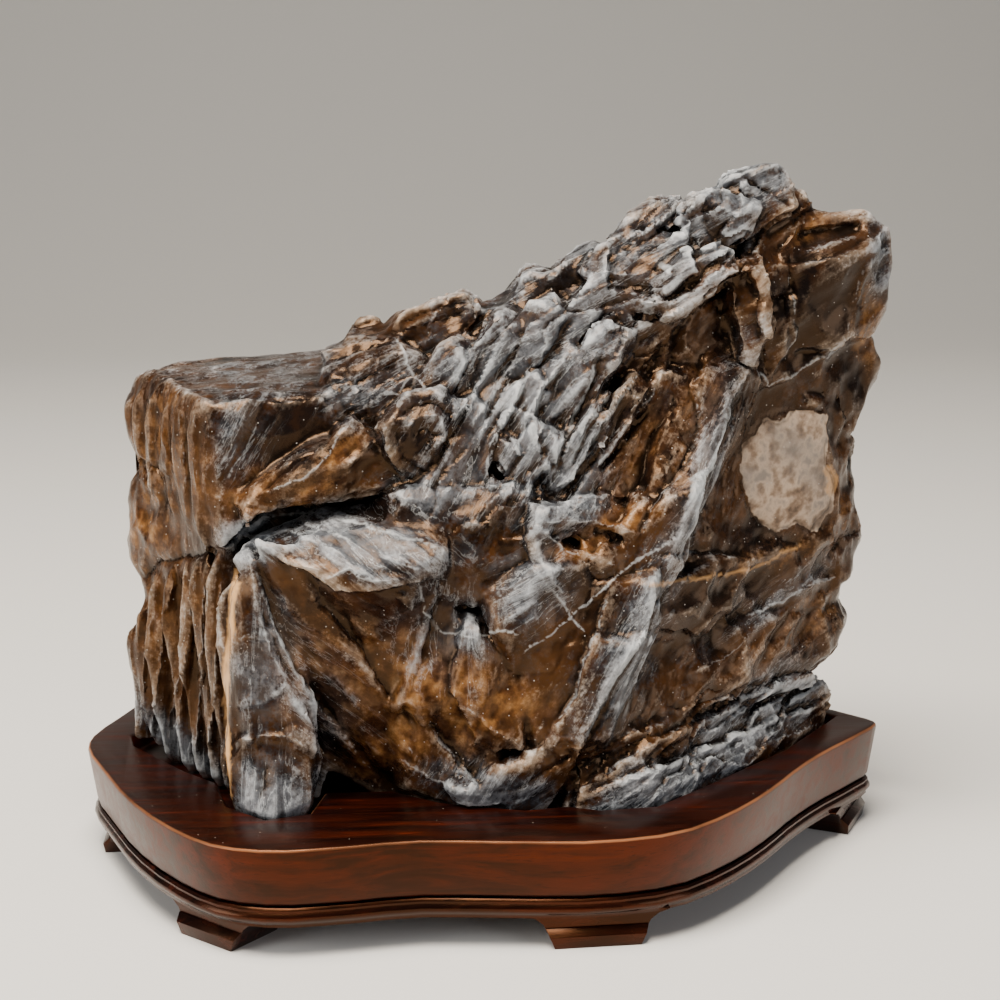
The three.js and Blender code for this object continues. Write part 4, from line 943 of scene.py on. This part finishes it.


# %% [markdown]
# Rind and stain
#
# The bare rind is dark brown, and nearly black where the table of dark spots says so, which is dark stone
# in some spots and painted shade in others. Slate grey shows through where dust will lie. Orange-brown stain
# has run over it. Then the shape has its say: bulges are painted paler, partly as wear and partly as a
# painted highlight, tan on bare stone and grey on dusty stone, and hollows get painted shade.


# %% Rind and stain
def rind(add, at):
    """The colour of the stone before any dust."""
    brown = add("ramp", at.cloud,
                stops=[(0.3, "#080504"), (0.45, "#1d1009"), (0.6, "#3a2412"), (0.78, "#120c08")])
    brown = add("mix", add("range", at.mottle, 0.48, 0.7, 0, 0.6), brown, "#492b12")
    # near black over the dark spots: dark stone in some, painted shade in others
    brown = add("mix", add("times", at.dark, 0.85), brown, "#08080a")
    slate = add("ramp", at.mottle,
                stops=[(0.3, "#15171a"), (0.5, "#303439"), (0.7, "#53575b"), (0.85, "#3a3530")])
    slaty = add("range", add("plus", at.dusty, at.crisp), 0.0, 0.45, 0, 0.9)
    ground = add("mix", add("times", slaty, at.light), brown, slate)

    stain = add("ramp", at.mottle,
                stops=[(0.3, "#2a170a"), (0.46, "#56351a"), (0.6, "#825930"), (0.8, "#b08a60")])
    stained = add("range", add("plus", at.stained, at.crisp), 0.2, 0.9, 0, 0.85)
    ground = add("mix", stained, ground, stain)

    calmer = add("range", at.upright, 0, 0.8, 1, 0.5)
    # bulges painted paler: partly wear, partly a painted highlight, tan on bare stone and grey on dusty
    # stone
    painted_highlight_and_wear = add("range", add("plus", at.bulge, add("times", at.crisp, 0.7)), 0.62, 1.0, 0, 0.7)
    painted_highlight_and_wear = add("times", painted_highlight_and_wear, add("times", add("range", at.light, 0, 1, 0.25, 1), calmer))
    tan_highlight_and_wear = add("ramp", at.streak, stops=[(0.35, "#6b523d"), (0.6, "#b5a08a")])
    grey_highlight_and_wear = add("ramp", at.streak, stops=[(0.35, "#505254"), (0.6, "#a3a6a8")])
    highlight_and_wear_colour = add("mix", add("range", at.dusty, 0.05, 0.4), tan_highlight_and_wear, grey_highlight_and_wear)
    ground = add("mix", painted_highlight_and_wear, ground, highlight_and_wear_colour)
    # painted shade: the hollows are darkened towards near black
    shaded = add("times", add("times", at.hollow, calmer), 0.85)
    return add("mix", shaded, ground, "#080504")


bare_stone = rind(add, at)
print("with rind and stain:", len(limestone.node_tree.nodes), "nodes")


# %% [markdown]
# Dust, rubbed lines and painted ridge highlights
#
# Grey-white dust and fine crystals lie on the painted spots and on what faces up, streaked along the
# layers, and stay out of the hollows. The sharpest ridges, the drawn pale lines, the finest threads and
# the ridges of the crag noise are painted paler still, and most of all where the stone is dusty. On the
# sharpest ridges and along the drawn ridges and steps, that pale is partly rubbed wear and partly a
# painted highlight.


# %% Dust, rubbed lines and painted ridge highlights
def dusted(add, at, under):
    """Dust over a colour, and how much of it there is."""
    dust = add("ramp", at.streak,
               stops=[(0.3, "#44484d"), (0.45, "#6f7479"), (0.56, "#94989c"), (0.72, "#c9cbcc")])
    tops = add("times", add("range", at.upward, 0.5, 0.95), add("range", at.dusty, 0, 1, 0.25, 0.6))
    share = add("most", add("times", at.dusty, 0.75), tops)
    share = add("plus", share, add("times", at.bulging, 0.2))
    share = add("minus", share, add("times", at.hollow, 0.5))
    share = add("range", add("plus", share, at.crisp), 0.25, 1.0, 0, 0.9)
    return add("mix", share, under, dust), share


def pale_lines_and_highlights(add, at, under):
    """Pale rubbed lines and painted ridge highlights over a colour, and how much of them there is."""
    # pale on the sharpest ridges and the drawn lines: partly rubbed wear, partly a painted highlight
    rubbed = add("times", at.ridge_line, add("range", at.dusty, 0, 0.8, 0.3, 0.85))
    rubbed = add("most", rubbed, at.pale_line)
    rubbed = add("range", add("plus", rubbed, add("times", at.crisp, 0.6)), 0.3, 0.95, 0, 0.8)
    threaded = add("times", at.thread, add("range", at.dusty, 0, 0.8, 0.0, 0.6))
    combed = add("times", add("range", at.crag, 0.62, 0.85), add("range", at.dusty, 0, 0.7, 0.12, 0.8))
    rubbed = add("most", rubbed, add("most", threaded, combed))
    return add("mix", rubbed, under, "#bcbfbf"), rubbed


with_dust, dust_share = dusted(add, at, bare_stone)
with_lines_and_highlights, rubbed = pale_lines_and_highlights(add, at, with_dust)
print("with dust and rubbed lines:", len(limestone.node_tree.nodes), "nodes")


# %% [markdown]
# The marks, and the finished limestone
#
# Last come the mottled tan patch, the cream vein, painted shade in the fine grooves and a sprinkle of pale
# specks. Where the stone is handled it has a soft sheen, and where dust lies it is dull. The wax in its
# pores
# has an IOR of about 1.46, and the warm specular tint stands for the warm things that a real stone reflects:
# both are approximations. Striations too fine for the skin are a bump, strongest where the stone is dusty.


# %% Weathered limestone
def marked(add, at, under):
    """Patch, vein, painted shade in the grooves, and specks over a colour."""
    tan = add("ramp", at.mottle,
              stops=[(0.3, "#4c4037"), (0.42, "#7c6857"), (0.56, "#b09b86"), (0.7, "#7f746a")])
    tan = add("mix", add("range", at.cloud, 0.48, 0.7, 0, 0.7), tan, "#76716c")
    on_patch = add("range", add("plus", at.patch, add("times", at.crisp, 0.5)), 0.35, 0.6)
    shown = add("mix", on_patch, under, tan)
    shown = add("mix", at.vein, shown, "#c99a66")
    # painted shade: the fine grooves are darkened towards near black
    shown = add("mix", add("times", at.groove, 0.7), shown, "#060403")
    return add("mix", add("times", specks(add, at.place, 1.2, 0.14, 0.3), 0.7), shown, "#a8a39c")


with_marks = marked(add, at, with_lines_and_highlights)
dull = add("most", add("most", dust_share, rubbed), at.patch)
uneven = add("range", at.grit, 0.3, 0.7, -0.08, 0.08)
roughness = add("range", add("plus", dull, uneven), 0, 0.8, 0.22, 0.7)
heights = add("plus", at.streak, add("times", at.mottle, 0.6))
heights = add("plus", heights, add("times", at.crag, add("range", at.dusty, 0, 0.7, 0.3, 1.1)))
for finer, share in ((at.grain, 0.2), (at.grit, 0.1)):
    heights = add("plus", heights, add("times", finer, share))
rougher = add("range", add("most", at.dusty, at.patch), 0, 0.5, 0.22, 0.7)
bump = add("Bump", height=heights, strength=rougher, distance=0.6 * MM)
surface = add("BsdfPrincipled", base_color=with_marks, roughness=roughness, normal=bump, ior=1.46,
              specular_tint="#dcae84")
add("OutputMaterial", surface, is_active_output=True)
stone.data.materials.append(limestone)
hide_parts("rock")
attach(stone, "root")
print("whole finish:", len(limestone.node_tree.nodes), "nodes")


# %% [markdown]
# The stand
#
# The stand is carved from two boards of dark rosewood and lacquered. Its solids have the right outline,
# so each is copied, its flat triangles are dissolved into whole faces, and its sharp corners are rounded
# as sandpaper leaves them. The rounded edge catches the light and is where lacquer wears through first.


# %% Round the stand's corners
def rounded(node, name, radius, sharp=40):
    """A copy of a solid whose corners sharper than an angle are rounded."""
    piece = copied(node, name)
    shape = bmesh.new()
    shape.from_mesh(piece.data)
    every = {"verts": shape.verts, "edges": shape.edges}
    bmesh.ops.dissolve_limit(shape, angle_limit=math.radians(1), **every)
    turn = math.radians(sharp)
    corners = [e for e in shape.edges if len(e.link_faces) == 2 and e.calc_face_angle(0) > turn]
    bmesh.ops.bevel(
        shape, geom=corners, offset=radius * MM, offset_type="OFFSET", segments=3, profile=0.5,
        affect="EDGES", clamp_overlap=True, material=-1,
    )
    for face in shape.faces:
        face.smooth = True
    shape.to_mesh(piece.data)
    shape.free()
    piece.data.set_sharp_from_angle(angle=math.radians(30))
    return piece


board = rounded("seat_board", "stand_top_board", 0.7)
feet = rounded("foot_frame", "stand_foot_frame", 0.2)
print("board", len(board.data.polygons), "faces, foot frame", len(feet.data.polygons), "faces")

# %% [markdown]
# Lacquered rosewood
#
# Rosewood is dense and dark, with a red-brown body, nearly black growth lines and short pores. A clear
# lacquer with an IOR of about 1.5 lies over it, rubbed down to a satin gloss. On the upright side the
# red shows more, the rim is rubbed pale, and fine specks of dust lie on the top. The lower frame has
# had more stain and lacquer, so it is darker and glossier. Its warm specular tint is an approximation
# too, for the same reason as the stone's.


# %% Rosewood under lacquer
RIM_STARTS = 20.2
RIM_FULL = 20.8


def lacquered_rosewood(name, darkest, dark, middle, light, gloss):
    """Lacquered wood from four shades of its grain; gloss is its middle roughness."""
    material, add = new_material(name)
    place = add("TexCoord", out="Object")
    facing = add("SeparateXYZ", add("NewGeometry", out="Normal"), out="Z")
    height = add("SeparateXYZ", place, out="Z")
    along_grain = add("Mapping", place, rotation=(0, 0, math.radians(24)), scale=(1, 9, 9))
    grain = add("TexNoise", along_grain, scale=1 / (22 * MM), detail=8.0, roughness=0.6, distortion=0.6)
    pores = add("Mapping", place, rotation=(0, 0, math.radians(24)), scale=(1, 14, 14))
    pore = add("TexNoise", pores, scale=1 / (5 * MM), detail=3.0)
    cloud = add("TexNoise", place, scale=1 / (30 * MM), detail=4.0)
    body = add("ramp", grain, stops=[(0.3, darkest), (0.45, dark), (0.6, middle), (0.75, light)])
    upright = add("range", add("size", facing), 0.5, 0.1)
    red_patch = add("plus", cloud, add("minus", grain, 0.5))
    redder = add("times", upright, add("range", red_patch, 0.35, 0.65, 0.0, 0.8))
    redder = add("mix", redder, body, light)
    with_pores = add("mix", add("range", pore, 0.6, 0.7, 0, 0.7), redder, darkest)

    edge_face = add("times", add("range", facing, 0.15, 0.4), add("range", facing, 0.97, 0.8))
    worn_patch = add("range", cloud, 0.4, 0.6, 0.25, 0.9)
    level = add("VectorMath", place, (1, 1, 0), operation="MULTIPLY")
    normal = add("NewGeometry", out="Normal")
    outward = add("VectorMath", level, normal, operation="DOT_PRODUCT")
    edge_face = add("times", edge_face, add("range", outward, 0, 5 * MM))
    at_rim = add("times", edge_face, add("range", height, RIM_STARTS * MM, RIM_FULL * MM))
    worn = add("times", at_rim, worn_patch)
    rubbed = add("mix", worn, with_pores, "#8a5a3c")

    on_top = add("range", facing, 0.8, 0.95, 0, 0.6)
    dust_dots = add("times", specks(add, place, 1.6, 0.1, 0.15), on_top)
    specked = add("mix", dust_dots, rubbed, "#9a8a7c")

    roughness = add("range", grain, 0.3, 0.75, gloss - 0.06, gloss + 0.08)
    heights = add("plus", grain, add("times", pore, 0.5))
    bump = add("Bump", height=heights, strength=0.15, distance=0.2 * MM)
    surface = add("BsdfPrincipled", base_color=specked, roughness=roughness, normal=bump, ior=1.48,
                  specular_tint="#d88a50", coat_weight=0.08, coat_roughness=0.18)
    add("OutputMaterial", surface, is_active_output=True)
    return material


board.data.materials.append(
    lacquered_rosewood("lacquered_rosewood_top", "#050101", "#120302", "#240702", "#441002", 0.34)
)
feet.data.materials.append(
    lacquered_rosewood("lacquered_rosewood_frame", "#060202", "#0e0403", "#1e0804", "#340f06", 0.24)
)
for piece, node, slot in ((board, "seat_board", "board_wood"), (feet, "foot_frame", "frame_wood")):
    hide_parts(node)
    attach(piece, "root")
print("stand dressed in", [m.name for m in (board.data.materials[0], feet.data.materials[0])])

# %% [markdown]
# Floor and light
#
# A plain pale floor that curves up behind, and large soft lights, show the shape and nothing else. One
# big panel hangs above and a little in front for the tops and the foot bevels, one stands at the left
# for the fluted end, and a weaker one at the right keeps the shadows open.

# %% Floor, world and lights
floor_mesh = bpy.data.meshes.new("floor")
floor_shape = bmesh.new()
FLOOR_HALF = 8.0
BEND_START = 0.7
BEND_RADIUS = 0.8
profile = [(-FLOOR_HALF, 0.0)]
for step in range(17):
    turn = math.radians(90 * step / 16)
    profile.append((BEND_START + BEND_RADIUS * math.sin(turn), BEND_RADIUS * (1 - math.cos(turn))))
profile.append((BEND_START + BEND_RADIUS, 2.5))
left = [floor_shape.verts.new((-FLOOR_HALF, y, z)) for y, z in profile]
right = [floor_shape.verts.new((FLOOR_HALF, y, z)) for y, z in profile]
for i in range(len(profile) - 1):
    floor_shape.faces.new((left[i], right[i], right[i + 1], left[i + 1])).smooth = True
floor_shape.to_mesh(floor_mesh)
floor_shape.free()
floor = bpy.data.objects.new("floor", floor_mesh)
bpy.context.scene.collection.objects.link(floor)
floor_material, add = new_material("matt_pale_paper")
add("OutputMaterial", add("BsdfPrincipled", base_color="#dcd9d3", roughness=0.9), is_active_output=True)
floor_mesh.materials.append(floor_material)

world = bpy.data.worlds.new("soft studio")
world.use_nodes = True
backdrop = world.node_tree.nodes["Background"]
backdrop.inputs["Color"].default_value = colour("#e9edf2")
backdrop.inputs["Strength"].default_value = 0.12
bpy.context.scene.world = world


def panel(name, place, aim, size, watts, tint):
    """A soft square light panel, its place and aim in metres."""
    data = bpy.data.lights.new(name, "AREA")
    data.shape = "SQUARE"
    data.size = size
    data.energy = watts
    data.color = colour(tint)[:3]
    light = bpy.data.objects.new(name, data)
    light.location = place
    light.rotation_euler = (Vector(aim) - Vector(place)).to_track_quat("-Z", "Y").to_euler()
    bpy.context.scene.collection.objects.link(light)


panel("overhead panel", (-0.12, -0.20, 0.75), (0, 0, 0.06), 0.40, 15.5, "#fff6ea")
panel("left panel", (-0.75, -0.35, 0.30), (-0.02, 0, 0.07), 0.45, 5.0, "#ffffff")
panel("right panel", (0.65, -0.55, 0.25), (0.02, 0, 0.06), 0.45, 2.5, "#f4f7ff")
print("three panels lit")

# %% [markdown]
# Sizes, and the end
#
# The dressed stone and stand must stay within the solids' box.
